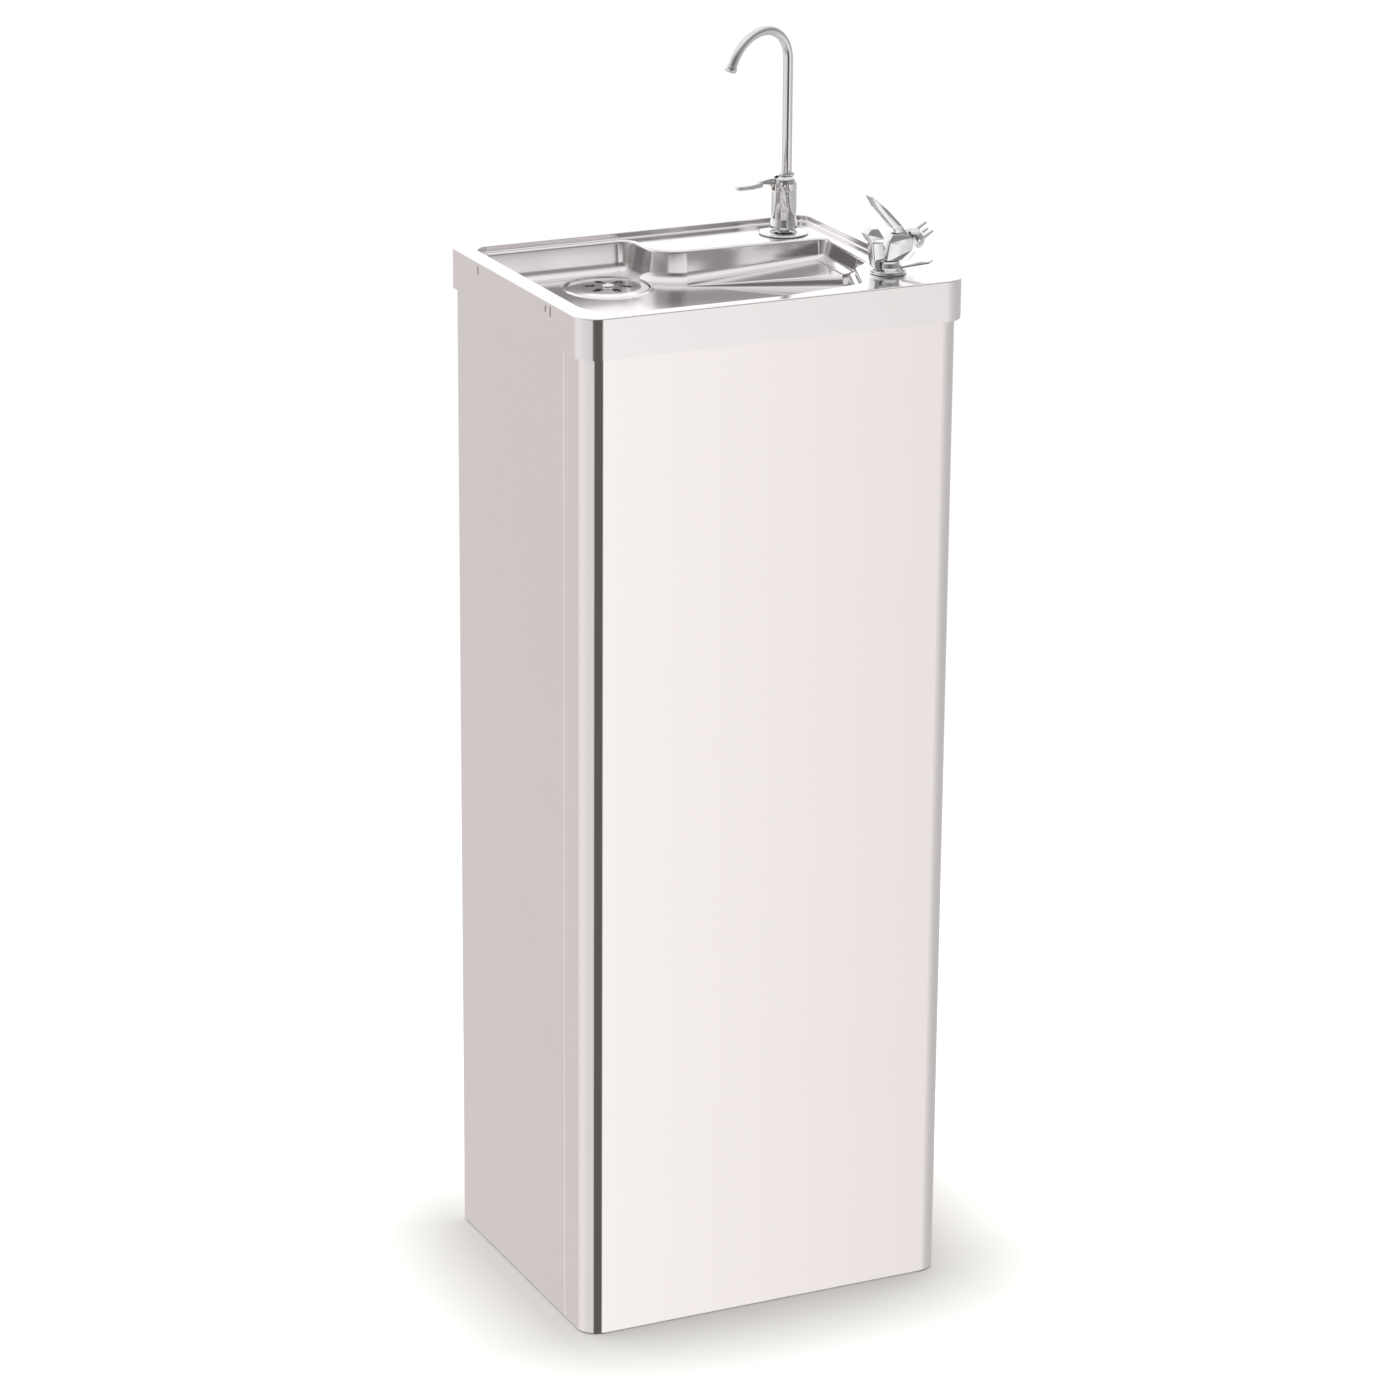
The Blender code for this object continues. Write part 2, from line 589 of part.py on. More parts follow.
def tap_lever():
    """Make the filler's lever with its cam hub, and its pin."""
    pin = tap_point(PIN_X, 0, PIN_Z)
    hub = rounded([(0.0032, -0.0028, 0.0025), (0.0032, 0.0035, 0.0025), (-0.0080, 0.0050, 0.003),
                   (-0.0200, 0.0030, 0.004), (-0.0200, 0.0002, 0.001), (-0.0086, -0.0010, 0.002),
                   (-0.0070, -0.0040, 0.0020), (-0.0015, -0.0040, 0.0015)], steps=3)
    lever = as_mesh(upright("tap_lever", hub, 0.0029, CHROME, pin))
    leaf = rounded([(-0.0170, -0.0026, 0.001), (-0.0170, 0.0026, 0.001), (-0.0300, 0.0060, 0.010),
                    (-0.0440, 0.0060, 0.0055), (-0.0440, -0.0060, 0.0055), (-0.0300, -0.0060, 0.010)],
                   steps=4)
    paddle = as_mesh(plate("tap_paddle", leaf, -0.0028, 0.0020, None, pin, (0, math.radians(-2), 0)))
    boolean(lever, paddle, "UNION")
    boolean(lever, drum("lever_bore", 0.00175, -0.02, 0.02, None, pin, ALONG_Y, sides=16))
    drum("tap_lever_pin", 0.0015, -0.0090, 0.0090, CHROME, pin, ALONG_Y, sides=16)
    stem = [(0, 0.0457), (0.0029, 0.0457), (0.0029, 0.0430), (0.0019, 0.0425), (0.0019, 0.0165),
            (0, 0.0165)]
    turned("tap_valve_stem", stem, BRASS, tap_point(PIN_X, 0, 0), sides=20)
    coil = helix(0.00265, 0.0250, 0.0415, 4, 8)
    wire("tap_valve_spring", coil, 0.0003, ZINC, tap_point(PIN_X, 0, 0), detail=1)


# Bubbler ---------------------------------------------------------------------------------------

PIVOT_X, PIVOT_Z = 0.0160, 0.0300   # bubbler lever's pin, from the deck
PLUNGER_X = 0.0080


def bubbler_point(x, y, z):
    """Return a world point from one measured at the bubbler's foot."""
    return (BUBBLER[0] + x, BUBBLER[1] + y, RIM + z)


def bubbler_base():
    """Turn the foot with its threaded tail, and fit its nut and the guard wings."""
    foot = bubbler_point(0, 0, 0)
    profile = [(0, 0.0120), (0.0100, 0.0120), (0.0110, 0.0105), (0.0113, 0.0050), (0.0170, 0.0034),
               (0.0172, GAP), (0.0060, GAP), (0.0060, -0.0400), (0, -0.0400)]
    turned("bubbler_base", profile, CHROME, foot)
    hexagon_nut("bubbler_nut", foot, -0.0090, -SHEET - GAP)
    corners = [(0.0085, -0.0095, 0), (0.0310, -0.0220, 0.001), (0.0380, -0.0180, 0.001),
               (0.0190, 0, 0.003), (0.0380, 0.0180, 0.001), (0.0310, 0.0220, 0.001),
               (0.0085, 0.0095, 0), (0.0130, 0, 0)]
    wings = as_mesh(plate("bubbler_wings", rounded(corners, steps=2), 0.0052, 0.0072, CHROME, foot))
    for vertex in wings.data.vertices:
        vertex.co.z += 0.25 * max(0, vertex.co.x - 0.012)


def bubbler_body():
    """Make the upright body, slotted for the lever and bored for the plunger."""
    foot = bubbler_point(0, 0, 0)
    outline = rounded([(-0.0060, 0.0123, 0.001), (0.0100, 0.0123, 0.001), (0.0215, 0.0205, 0.004),
                       (0.0225, 0.0340, 0.005), (0.0110, 0.0365, 0.003), (0.0010, 0.0370, 0.001),
                       (-0.0030, 0.0300, 0.004)], steps=3)
    body = as_mesh(upright("bubbler_body", outline, 0.0068, CHROME, foot))
    boolean(body, block("bubbler_slot", (0.0022, -0.0030, 0.0240), (0.0300, 0.0030, 0.0500), at=foot))
    plunger = bubbler_point(PLUNGER_X, 0, 0)
    boolean(body, drum("plunger_bore", 0.0029, 0.0155, 0.0245, at=plunger, sides=20))
    pivot = bubbler_point(PIVOT_X, 0, PIVOT_Z)
    boolean(body, drum("pivot_bore", 0.00165, -0.02, 0.02, None, pivot, ALONG_Y, sides=16))
    drum("bubbler_lever_pin", 0.0015, -0.0066, 0.0066, CHROME, pivot, ALONG_Y, sides=16)
    head = [(0, 0.0263), (0.0024, 0.0263), (0.0024, 0.0245), (0.0014, 0.0242), (0.0014, 0.0185),
            (0, 0.0185)]
    turned("bubbler_plunger", head, BRASS, plunger, sides=20)
    coil = helix(0.0021, 0.0163, 0.0235, 3, 8)
    wire("bubbler_plunger_spring", coil, 0.0003, ZINC, plunger, detail=1)


def bubbler_nozzle():
    """Make the water spout on the left and the hood that guards it."""
    foot = bubbler_point(0, 0, 0)
    finger = rounded([(-0.0165, 0.0054, 0.001), (-0.0121, 0.0054, 0), (-0.0121, 0.0125, 0),
                      (-0.0070, 0.0140, 0.002), (-0.0090, 0.0310, 0.001), (-0.0200, 0.0310, 0.001),
                      (-0.0180, 0.0150, 0.010)], steps=3)
    upright("bubbler_nozzle", finger, 0.0062, CHROME, foot)
    cap = rounded([(-0.0210, 0.0313, 0.0005), (-0.0185, 0.0313, 0), (-0.0185, 0.0335, 0),
                   (-0.0077, 0.0335, 0.001), (-0.0145, 0.0440, 0.002), (-0.0215, 0.0445, 0.002),
                   (-0.0258, 0.0390, 0.002)], steps=3)
    upright("bubbler_hood", cap, 0.0068, CHROME, foot)


def bubbler_lever():
    """Make the press lever: a tongue on the pin under a broad tapering blade."""
    pivot = bubbler_point(PIVOT_X, 0, PIVOT_Z)
    tongue = rounded([(-0.0118, -0.0025, 0.001), (-0.0050, -0.0034, 0.001), (0.0010, -0.0048, 0.003),
                      (0.0054, 0.0000, 0.004), (0.0010, 0.0070, 0.004), (-0.0050, 0.0150, 0.003),
                      (-0.0150, 0.0135, 0), (-0.0108, 0.0098, 0.002)], steps=3)
    lever = as_mesh(upright("bubbler_lever", tongue, 0.0026, CHROME, pivot))
    blade = rounded([(-0.0140, 0.0120, 0.001), (-0.0040, 0.0130, 0.002), (-0.0210, 0.0310, 0.020),
                     (-0.0398, 0.0468, 0.0006), (-0.0322, 0.0335, 0.010)], steps=3)
    wide = as_mesh(upright("lever_blade", blade, 0.0065, None, pivot))
    boolean(lever, wide, "UNION")
    boolean(lever, drum("tongue_bore", 0.00175, -0.02, 0.02, None, pivot, ALONG_Y, sides=16))


def bubbler_knob():
    """Make the flow regulator's faceted knob with three finger prongs."""
    tilt = (0, math.radians(60), 0)
    place = bubbler_point(0.0232, 0, 0.0290)
    profile = [(0, 0.0120), (0.0040, 0.0118), (0.0085, 0.0090), (0.0110, 0.0040), (0.0105, 0.0010),
               (0, 0.0010)]
    knob = turned("bubbler_knob", profile, CHROME, place, tilt, sides=10)
    for index in range(3):
        angle = math.radians(120 * index + 60)
        prong = drum(f"prong_{index}", 0.0022, 0.0060, 0.0210, None, place, tilt, 8, top=0.0013)
        prong.data.transform(Matrix.Translation((0.0058 * math.cos(angle), 0.0058 * math.sin(angle), 0)))
        boolean(knob, prong, "UNION")


# Cooling ---------------------------------------------------------------------------------------

SUCTION = (COMPRESSOR[0] + 0.040, COMPRESSOR[1] + 0.025)
DISCHARGE = (COMPRESSOR[0] + 0.040, COMPRESSOR[1] - 0.025)
STUB_TOP = 0.200
DRIER = (0.150, 0.100)
DRIER_LOW, DRIER_HIGH = 0.181, 0.270
CONDENSER_Y = 0.136
TANK_FLOOR = 0.480
LID_LOW, LID_HIGH = 0.7003, 0.7120
PORT_TOP = 0.7160
PORTS = {"tap": (0.025, 0), "bubbler": (-0.020, 0.022), "feed": (-0.020, -0.022)}
COIL_RADIUS = 0.0585
COIL_LOW = 0.490


def compressor():
    """Make the sealed compressor pot on its mounting plate, with two pipe stubs."""
    x, y = COMPRESSOR
    profile = [(0, 0.190), (0.030, 0.187), (0.052, 0.174), (0.064, 0.152), (0.067, 0.112),
               (0.071, 0.110), (0.071, 0.104), (0.067, 0.102), (0.064, 0.055), (0.054, 0.024),
               (0.035, 0.0136), (0.035, 0.0056), (0, 0.0056)]
    pot = turned("compressor", profile, BLACK_METAL, (x, y, 0), sides=32)
    for name, (px, py) in (("suction_stub", SUCTION), ("discharge_stub", DISCHARGE)):
        boolean(pot, drum(name, 0.0040, 0.150, STUB_TOP, at=(px, py, 0), sides=12), "UNION")
    boolean(pot, drum("pot_inside", 0.0500, 0.030, 0.165, at=(x, y, 0)))
    boolean(pot, drum("pot_drain", 0.0200, -0.010, 0.040, at=(x, y, 0)))
    relay = block("relay_box", (-0.024, -0.086, 0.070), (0.024, -0.055, 0.130), at=(x, y, 0))
    boolean(pot, relay, "UNION")
    feet = rounded([(-0.080, -0.050, 0.012), (0.080, -0.050, 0.012), (0.080, 0.050, 0.012),
                    (-0.080, 0.050, 0.012)], steps=3)
    plate("compressor_plate", feet, 0.0023, 0.0053, ZINC, (x, y, 0))


def condenser():
    """Bend the condenser's serpentine behind the back sheet, and fit the drier after it."""
    runs, reach, high, low = 12, 0.105, 0.840, 0.170
    pitch = (high - low) / (runs - 1)
    points = []
    for run in range(runs):
        hand = 1 if run % 2 == 0 else -1
        level = high - run * pitch
        points.append(Vector((hand * reach, CONDENSER_Y, level)))
        if run == runs - 1:
            points.append(Vector((-hand * reach, CONDENSER_Y, level)))
            break
        for step in range(5):
            angle = math.pi * step / 4
            points.append(Vector((-hand * (reach + pitch / 2 * math.sin(angle)), CONDENSER_Y,
                                  level - pitch / 2 * (1 - math.cos(angle)))))
    points = [point for index, point in enumerate(points)
              if index == 0 or (point - points[index - 1]).length > 0.001]
    points += flowing([points[-1], (0.116, CONDENSER_Y, low), (0.140, 0.128, 0.162),
                       (0.150, 0.110, 0.158), (*DRIER, DRIER_LOW - 0.010),
                       (*DRIER, DRIER_LOW - GAP)], steps=2)[1:]
    wire("condenser", points, 0.0025, BLACK_METAL, detail=1)
    profile = [(0, DRIER_HIGH), (0.0030, DRIER_HIGH), (0.0035, 0.258), (0.0100, 0.248),
               (0.0100, 0.202), (0.0035, 0.192), (0.0030, DRIER_LOW), (0, DRIER_LOW)]
    turned("filter_drier", profile, COPPER, (*DRIER, 0), sides=16)


def refrigerant_pipes():
    """Run the discharge, suction and capillary tubes."""
    discharge = flowing([(*DISCHARGE, STUB_TOP + GAP), (*DISCHARGE, STUB_TOP + 0.010),
                         (0.086, 0.006, 0.240), (0.125, 0.040, 0.290), (0.160, 0.082, 0.400),
                         (0.162, 0.105, 0.560), (0.158, 0.125, 0.760), (0.146, 0.132, 0.826),
                         (0.120, CONDENSER_Y, 0.840), (0.1053, CONDENSER_Y, 0.840)])
    wire("discharge_pipe", discharge, 0.0025, COPPER, detail=1)
    x, y = TANK
    suction = flowing([(x, y + COIL_RADIUS, 0.7203), (x, y + COIL_RADIUS, 0.732),
                       (0.004, 0.090, 0.745), (0.050, 0.106, 0.725), (0.112, 0.112, 0.620),
                       (0.124, 0.106, 0.470), (0.116, 0.090, 0.330), (0.084, 0.058, 0.240),
                       (*SUCTION, STUB_TOP + 0.010), (*SUCTION, STUB_TOP + GAP)])
    wire("suction_pipe", suction, 0.0030, COPPER, detail=1)
    capillary = flowing([(*DRIER, DRIER_HIGH + GAP), (*DRIER, DRIER_HIGH + 0.008),
                         (0.150, 0.102, 0.340), (0.142, 0.096, 0.430), (0.122, 0.076, 0.478),
                         (0.096, 0.034, 0.490), (x + 0.0960, y, COIL_LOW),
                         (x + 0.0904, y, COIL_LOW)])
    wire("capillary_tube", capillary, 0.0012, COPPER, detail=1)


def cold_tank():
    """Make the tank, the evaporator round it, and the foam jacket with its lid."""
    place = (*TANK, 0)
    profile = [(0, 0.655), (0.030, 0.652), (0.048, 0.640), (0.054, 0.625), (0.054, 0.500),
               (0.048, 0.486), (0.040, TANK_FLOOR + GAP), (0, TANK_FLOOR + GAP)]
    tank = turned("cold_tank", profile, SATIN, place)
    boolean(tank, drum("tank_inside", 0.0520, 0.502, 0.630, at=place))
    outer, inner = 0.0850, 0.0640
    jacket = turned("tank_insulation", [
        (inner, 0.700), (outer, 0.700), (outer, 0.4603), (0, 0.4603), (0, TANK_FLOOR),
        (inner, TANK_FLOOR)], FOAM, place, ring=True)
    boolean(jacket, drum("coil_exit", 0.0050, 0.055, 0.095, None, (*TANK, COIL_LOW),
                         (0, math.pi / 2, 0), 12))
    lid = turned("insulation_lid", [(0, LID_HIGH), (outer, LID_HIGH), (outer, LID_LOW), (0, LID_LOW)],
                 FOAM, place)
    for name, (x, y) in PORTS.items():
        port = (TANK[0] + x, TANK[1] + y, 0)
        boolean(tank, drum(f"{name}_port", 0.0050, 0.635, PORT_TOP, at=port, sides=12), "UNION")
        boolean(tank, drum(f"{name}_bore", 0.0030, 0.620, PORT_TOP + 0.01, at=port, sides=12))
        boolean(lid, drum(f"{name}_lid_hole", 0.0058, 0.69, 0.72, at=port, sides=12))
    exit_point = (TANK[0], TANK[1] + COIL_RADIUS, 0)
    boolean(lid, drum("coil_lid_hole", 0.0040, 0.69, 0.72, at=exit_point, sides=12))
    coil = helix(COIL_RADIUS, COIL_LOW, 0.630, 4.25, 16)
    coil.insert(0, Vector((COIL_RADIUS + 0.0315, 0, COIL_LOW)))
    coil += [Vector((0, COIL_RADIUS, height)) for height in (0.640, 0.7200)]
    wire("evaporator_coil", coil, 0.0030, COPPER, place, detail=1)


# Water and power -------------------------------------------------------------------------------

def port_point(name, rise=0):
    """Return where a hose meets one of the tank's ports, or a point above it."""
    x, y = PORTS[name]
    return (TANK[0] + x, TANK[1] + y, PORT_TOP + GAP + rise)


def water_path():
    """Make the inlet, the filter under its head, and the hoses up to both outlets."""
    union = [(0.0040, 0.0160), (0.0078, 0.0160), (0.0078, -0.0010), (0.0110, -0.0010),
             (0.0110, -0.0060), (0.0060, -0.0060), (0.0060, -0.0160), (0.0040, -0.0160)]
    turned("water_inlet", union, BRASS, behind(WATER_IN), BACKWARDS, ring=True)
    x, y = FILTER
    body = [(0, 0.4017), (0.0270, 0.4017), (0.0310, 0.396), (0.0320, 0.388), (0.0320, 0.160),
            (0.0290, 0.150), (0, 0.148)]
    turned("water_filter", body, WHITE_PLASTIC, (x, y, 0))
    cap = [(0, 0.4370), (0.0300, 0.4370), (0.0340, 0.430), (0.0340, 0.4020), (0, 0.4020)]
    head = turned("filter_head", cap, BLACK_PLASTIC, (x, y, 0))
    spigot = (x, y, 0.420)
    boolean(head, drum("head_inlet", 0.0060, 0.028, 0.040, None, spigot, (0, math.pi / 2, 0), 12), "UNION")
    boolean(head, drum("head_outlet", 0.0060, 0.028, 0.040, None, spigot, ALONG_Y, 12), "UNION")
    inlet = flowing([(WATER_IN[0], REAR_FACE - 0.0163, WATER_HEIGHT),
                     (WATER_IN[0], REAR_FACE - 0.0260, WATER_HEIGHT), (-0.098, 0.108, 0.110),
                     (-0.078, 0.085, 0.200), (-0.064, 0.030, 0.330), (-0.066, -0.020, 0.405),
                     (x + 0.0480, y, 0.420), (x + 0.0403, y, 0.420)])
    wire("inlet_hose", inlet, 0.0040, BLUE_HOSE)
    feed = flowing([(x, y - 0.0403, 0.420), (x, y - 0.0460, 0.420), (-0.118, -0.094, 0.450),
                    (-0.104, -0.094, 0.540), (-0.085, -0.070, 0.690), (-0.060, -0.034, 0.764),
                    port_point("feed", 0.012), port_point("feed")])
    wire("feed_hose", feed, 0.0040, BLUE_HOSE)
    tap = flowing([port_point("tap"), port_point("tap", 0.012), (0.010, 0.022, 0.765),
                   (0.056, 0.050, 0.840), (0.1140, 0.088, 0.890), (*TAP, SHELF - 0.0503),
                   (*TAP, SHELF - 0.0403)])
    wire("tap_hose", tap, 0.0040, BLUE_HOSE)
    bubbler = flowing([port_point("bubbler"), port_point("bubbler", 0.012), (-0.034, 0.038, 0.775),
                       (0.030, -0.012, 0.840), (0.118, -0.084, 0.890), (*BUBBLER, RIM - 0.0503),
                       (*BUBBLER, RIM - 0.0403)])
    wire("bubbler_hose", bubbler, 0.0040, BLUE_HOSE)


def electrics():
    """Make the thermostat with its knob, and the cord's gland."""
    place = behind(DIAL)
    body = block("thermostat", (-0.011, -0.032, -0.016), (0.011, -0.001, 0.016), BLACK_PLASTIC, place)
    boolean(body, drum("bushing", 0.0060, -0.005, 0.0045, None, place, BACKWARDS, 16), "UNION")
    knob = [(0, 0.0170), (0.0100, 0.0170), (0.0115, 0.0155), (0.0120, 0.0050), (0, 0.0050)]
    dial = turned("thermostat_knob", knob, BLACK_PLASTIC, place, BACKWARDS, sides=20)
    grip = block("knob_grip", (-0.0016, 0.0150, -0.0105), (0.0016, 0.0200, 0.0105), at=place)
    boolean(dial, grip, "UNION")
    gland = [(0.0035, 0.0140), (0.0060, 0.0140), (0.0095, 0.0100), (0.0095, 0.0015), (0.0080, 0.0015),
             (0.0080, -0.0003), (0.0100, -0.0003), (0.0100, -0.0045), (0.0080, -0.0045),
             (0.0080, -0.0120), (0.0035, -0.0120)]
    turned("power_inlet", gland, BLACK_PLASTIC, behind(POWER_IN), BACKWARDS, ring=True)


def build():
    """Build every piece."""
    front_panel()
    side_panel("left_side_panel", -1)
    side_panel("right_side_panel", 1)
    rear_panel()
    base_tray()
    tank_shelf()
    basin_top()
    drain()
    tap_body()
    tap_spout()
    tap_lever()
    bubbler_base()
    bubbler_body()
    bubbler_nozzle()
    bubbler_lever()
    bubbler_knob()
    compressor()
    condenser()
    refrigerant_pipes()
    cold_tank()
    water_path()
    electrics()


build()
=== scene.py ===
"""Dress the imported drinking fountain: fine sheet metal, chrome fittings, finishes and a studio."""
import json
import logging
import math
from dataclasses import dataclass
from enum import Enum
from typing import Sequence, Union

import bmesh
import bpy
from mathutils import Euler, Matrix, Vector
from mathutils.geometry import tessellate_polygon


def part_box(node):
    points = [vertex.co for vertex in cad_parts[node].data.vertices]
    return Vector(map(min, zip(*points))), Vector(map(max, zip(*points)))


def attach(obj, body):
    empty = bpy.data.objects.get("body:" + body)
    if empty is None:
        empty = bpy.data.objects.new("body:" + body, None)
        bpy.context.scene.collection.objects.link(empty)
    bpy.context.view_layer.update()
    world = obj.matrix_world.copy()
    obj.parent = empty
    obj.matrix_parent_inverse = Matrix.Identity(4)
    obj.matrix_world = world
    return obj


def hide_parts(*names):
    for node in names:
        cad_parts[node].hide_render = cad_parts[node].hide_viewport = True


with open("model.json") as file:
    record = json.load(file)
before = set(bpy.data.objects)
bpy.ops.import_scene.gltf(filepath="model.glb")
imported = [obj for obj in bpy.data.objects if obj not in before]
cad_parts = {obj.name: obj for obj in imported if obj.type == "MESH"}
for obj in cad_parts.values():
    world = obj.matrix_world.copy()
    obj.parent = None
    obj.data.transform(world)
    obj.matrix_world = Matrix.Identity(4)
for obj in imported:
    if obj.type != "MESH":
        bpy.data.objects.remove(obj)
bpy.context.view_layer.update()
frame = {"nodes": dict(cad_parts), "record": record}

LOG = logging.getLogger("fountain")

Number = Union[int, float]
Pair = tuple[float, float]
Corner = tuple[float, float, float]

SHEET = 0.0012      # every folded sheet
RIM = 1.000         # top of the basin's rim
SHELF = 0.994       # tap shelf
QUARTER = math.pi / 2
SIDEWAYS = (QUARTER, 0.0, 0.0)      # stands an outline drawn in X and Z upright
WELD = 0.000001     # points this close are one


# Shader graphs --------------------------------------------

class Wire:
    """An output socket with arithmetic, so that masks are written as expressions."""

    def __init__(self, graph: "Graph", socket: bpy.types.NodeSocket) -> None:
        """Keep the socket and the graph it belongs to."""
        self.graph = graph
        self.socket = socket

    def __add__(self, other: Union["Wire", Number]) -> "Wire":
        """Return the sum."""
        return self.graph.maths("ADD", self, other)

    def __sub__(self, other: Union["Wire", Number]) -> "Wire":
        """Return the difference."""
        return self.graph.maths("SUBTRACT", self, other)

    def __mul__(self, other: Union["Wire", Number]) -> "Wire":
        """Return the product."""
        return self.graph.maths("MULTIPLY", self, other)

    def __rsub__(self, other: Number) -> "Wire":
        """Return a number minus this wire."""
        return self.graph.maths("SUBTRACT", other, self)

    __radd__ = __add__
    __rmul__ = __mul__


Input = Union[Wire, Number, tuple]


class Graph:
    """A node tree that is built by calls."""

    def __init__(self, tree: bpy.types.NodeTree) -> None:
        """Start with an empty tree."""
        self.tree = tree
        tree.nodes.clear()

    def node(self, kind: str, settings: dict[str, object] | None = None,
             inputs: dict[Union[str, int], Input] | None = None) -> bpy.types.Node:
        """Make a node.

        Args:
            kind: the node's type name without its ShaderNode prefix.
            settings: attributes set first; a ramp takes its stops as "stops".
            inputs: values or wires for its sockets, by name or number.

        Returns:
            The node.
        """
        made = self.tree.nodes.new(f"ShaderNode{kind}")
        for key, value in (settings or {}).items():
            if key == "stops":
                self._set_stops(made.color_ramp, value)
            else:
                setattr(made, key, value)
        for key, value in (inputs or {}).items():
            if isinstance(value, Wire):
                self.tree.links.new(value.socket, made.inputs[key])
            else:
                made.inputs[key].default_value = value
        return made

    @staticmethod
    def _set_stops(ramp: bpy.types.ColorRamp, stops: Sequence[tuple[float, tuple]]) -> None:
        """Give a ramp its stops, each a position and a colour."""
        while len(ramp.elements) < len(stops):
            ramp.elements.new(1.0)
        for element, (place, colour) in zip(ramp.elements, stops):
            element.position = place
            element.color = (*colour, 1.0)

    def out(self, node: bpy.types.Node, name: Union[str, int] = 0) -> Wire:
        """Return one of a node's outputs."""
        return Wire(self, node.outputs[name])

    def maths(self, operation: str, first: Input, second: Input) -> Wire:
        """Return a Math node's result."""
        return self.out(self.node("Math", {"operation": operation}, {0: first, 1: second}))

    def spread(self, value: Wire, low: float, high: float, to_low: float, to_high: float) -> Wire:
        """Return a value mapped from one span to another and clamped to it."""
        return self.out(self.node("MapRange", {"clamp": True}, {
            "Value": value, "From Min": low, "From Max": high, "To Min": to_low, "To Max": to_high}))

    def mix(self, share: Input, first: Input, second: Input) -> Wire:
        """Return two colours mixed."""
        made = self.node("Mix", {"data_type": "RGBA"}, {0: share, 6: first, 7: second})
        return self.out(made, 2)

    def place(self, scale: tuple[float, float, float] = (1, 1, 1)) -> Wire:
        """Return the object's own coordinates in metres, scaled."""
        spot = self.out(self.node("TexCoord"), "Object")
        return self.out(self.node("Mapping", None, {"Vector": spot, "Scale": scale}))

    def noise(self, scale: float, stretch: tuple[float, float, float] = (1, 1, 1),
              detail: float = 3.0) -> Wire:
        """Return a noise value with features of about one over scale metres."""
        return self.out(self.node("TexNoise", None, {
            "Vector": self.place(stretch), "Scale": scale, "Detail": detail}), "Fac")

    def bump(self, height: Wire, depth: float, strength: float = 1.0) -> Wire:
        """Return a normal raised by a height of so many metres."""
        return self.out(self.node("Bump", None, {
            "Height": height, "Distance": depth, "Strength": strength}))


# Finishes -------------------------------------------------

class Grain(Enum):
    """Which way a metal was brushed: the stretch of its scratches along X, Y and Z."""

    UPRIGHT = (1.0, 1.0, 0.012)
    CROSSWISE = (0.012, 1.0, 1.0)
    ROUND = (1.0, 1.0, 1.0)


@dataclass(frozen=True)
class Finish:
    """A procedural surface; each kind says what changes over it."""

    name: str
    colour: tuple[float, float, float]
    roughness: float

    def build(self) -> bpy.types.Material:
        """Return the material, made the first time it is asked for."""
        title = f"{self.name}_finish"
        found = bpy.data.materials.get(title)
        if found:
            return found
        made = bpy.data.materials.new(title)
        made.use_nodes = True
        made.diffuse_color = (*self.colour, 1.0)
        graph = Graph(made.node_tree)
        shader = graph.node("BsdfPrincipled", None, self.surface(graph))
        output = graph.node("OutputMaterial")
        graph.tree.links.new(shader.outputs[0], output.inputs[0])
        return made

    def surface(self, graph: Graph) -> dict[str, Input]:
        """Return the shader's inputs."""
        raise NotImplementedError

    def tinted(self, graph: Graph, mask: Wire, change: float) -> Wire:
        """Return the colour made lighter and darker by a mask."""
        dark = tuple(channel * (1 - change) for channel in self.colour)
        light = tuple(min(1.0, channel * (1 + change)) for channel in self.colour)
        return graph.mix(mask, (*dark, 1.0), (*light, 1.0))


@dataclass(frozen=True)
class Metal(Finish):
    """Bare or plated metal with scratches, and slow changes from handling."""

    grain: Grain = Grain.ROUND
    scratch_scale: float = 900.0
    scratch: float = 0.03
    clouds: float = 0.02
    tint: float = 0.015
    depth: float = 0.000004

    def surface(self, graph: Graph) -> dict[str, Input]:
        """Return the shader's inputs."""
        lines = graph.noise(self.scratch_scale, self.grain.value, 2.0)
        cloud = graph.noise(7.0)
        rough = lines * (2 * self.scratch) + cloud * (2 * self.clouds) \
            + (self.roughness - self.scratch - self.clouds)
        return {"Base Color": self.tinted(graph, lines * 0.4 + cloud * 0.6, self.tint),
                "Metallic": 1.0, "Roughness": rough,
                "Normal": graph.bump(lines, self.depth)}


@dataclass(frozen=True)
class Plated(Finish):
    """Zinc plate or raw brass and copper: spangle and dull patches."""

    spangle: float = 160.0
    tarnish: tuple[float, float, float] = (0.35, 0.34, 0.33)

    def surface(self, graph: Graph) -> dict[str, Input]:
        """Return the shader's inputs."""
        cells = graph.out(graph.node("TexVoronoi", None, {
            "Vector": graph.place(), "Scale": self.spangle}), "Distance")
        cloud = graph.noise(14.0, detail=5.0)
        dull = graph.spread(cloud, 0.52, 0.72, 0.0, 0.55)
        colour = self.tinted(graph, graph.spread(cells, 0.0, 0.8, 0.2, 0.8), 0.10)
        return {"Base Color": graph.mix(dull, colour, (*self.tarnish, 1.0)), "Metallic": 1.0,
                "Roughness": cells * 0.10 + dull * 0.25 + self.roughness,
                "Normal": graph.bump(cloud, 0.00003)}


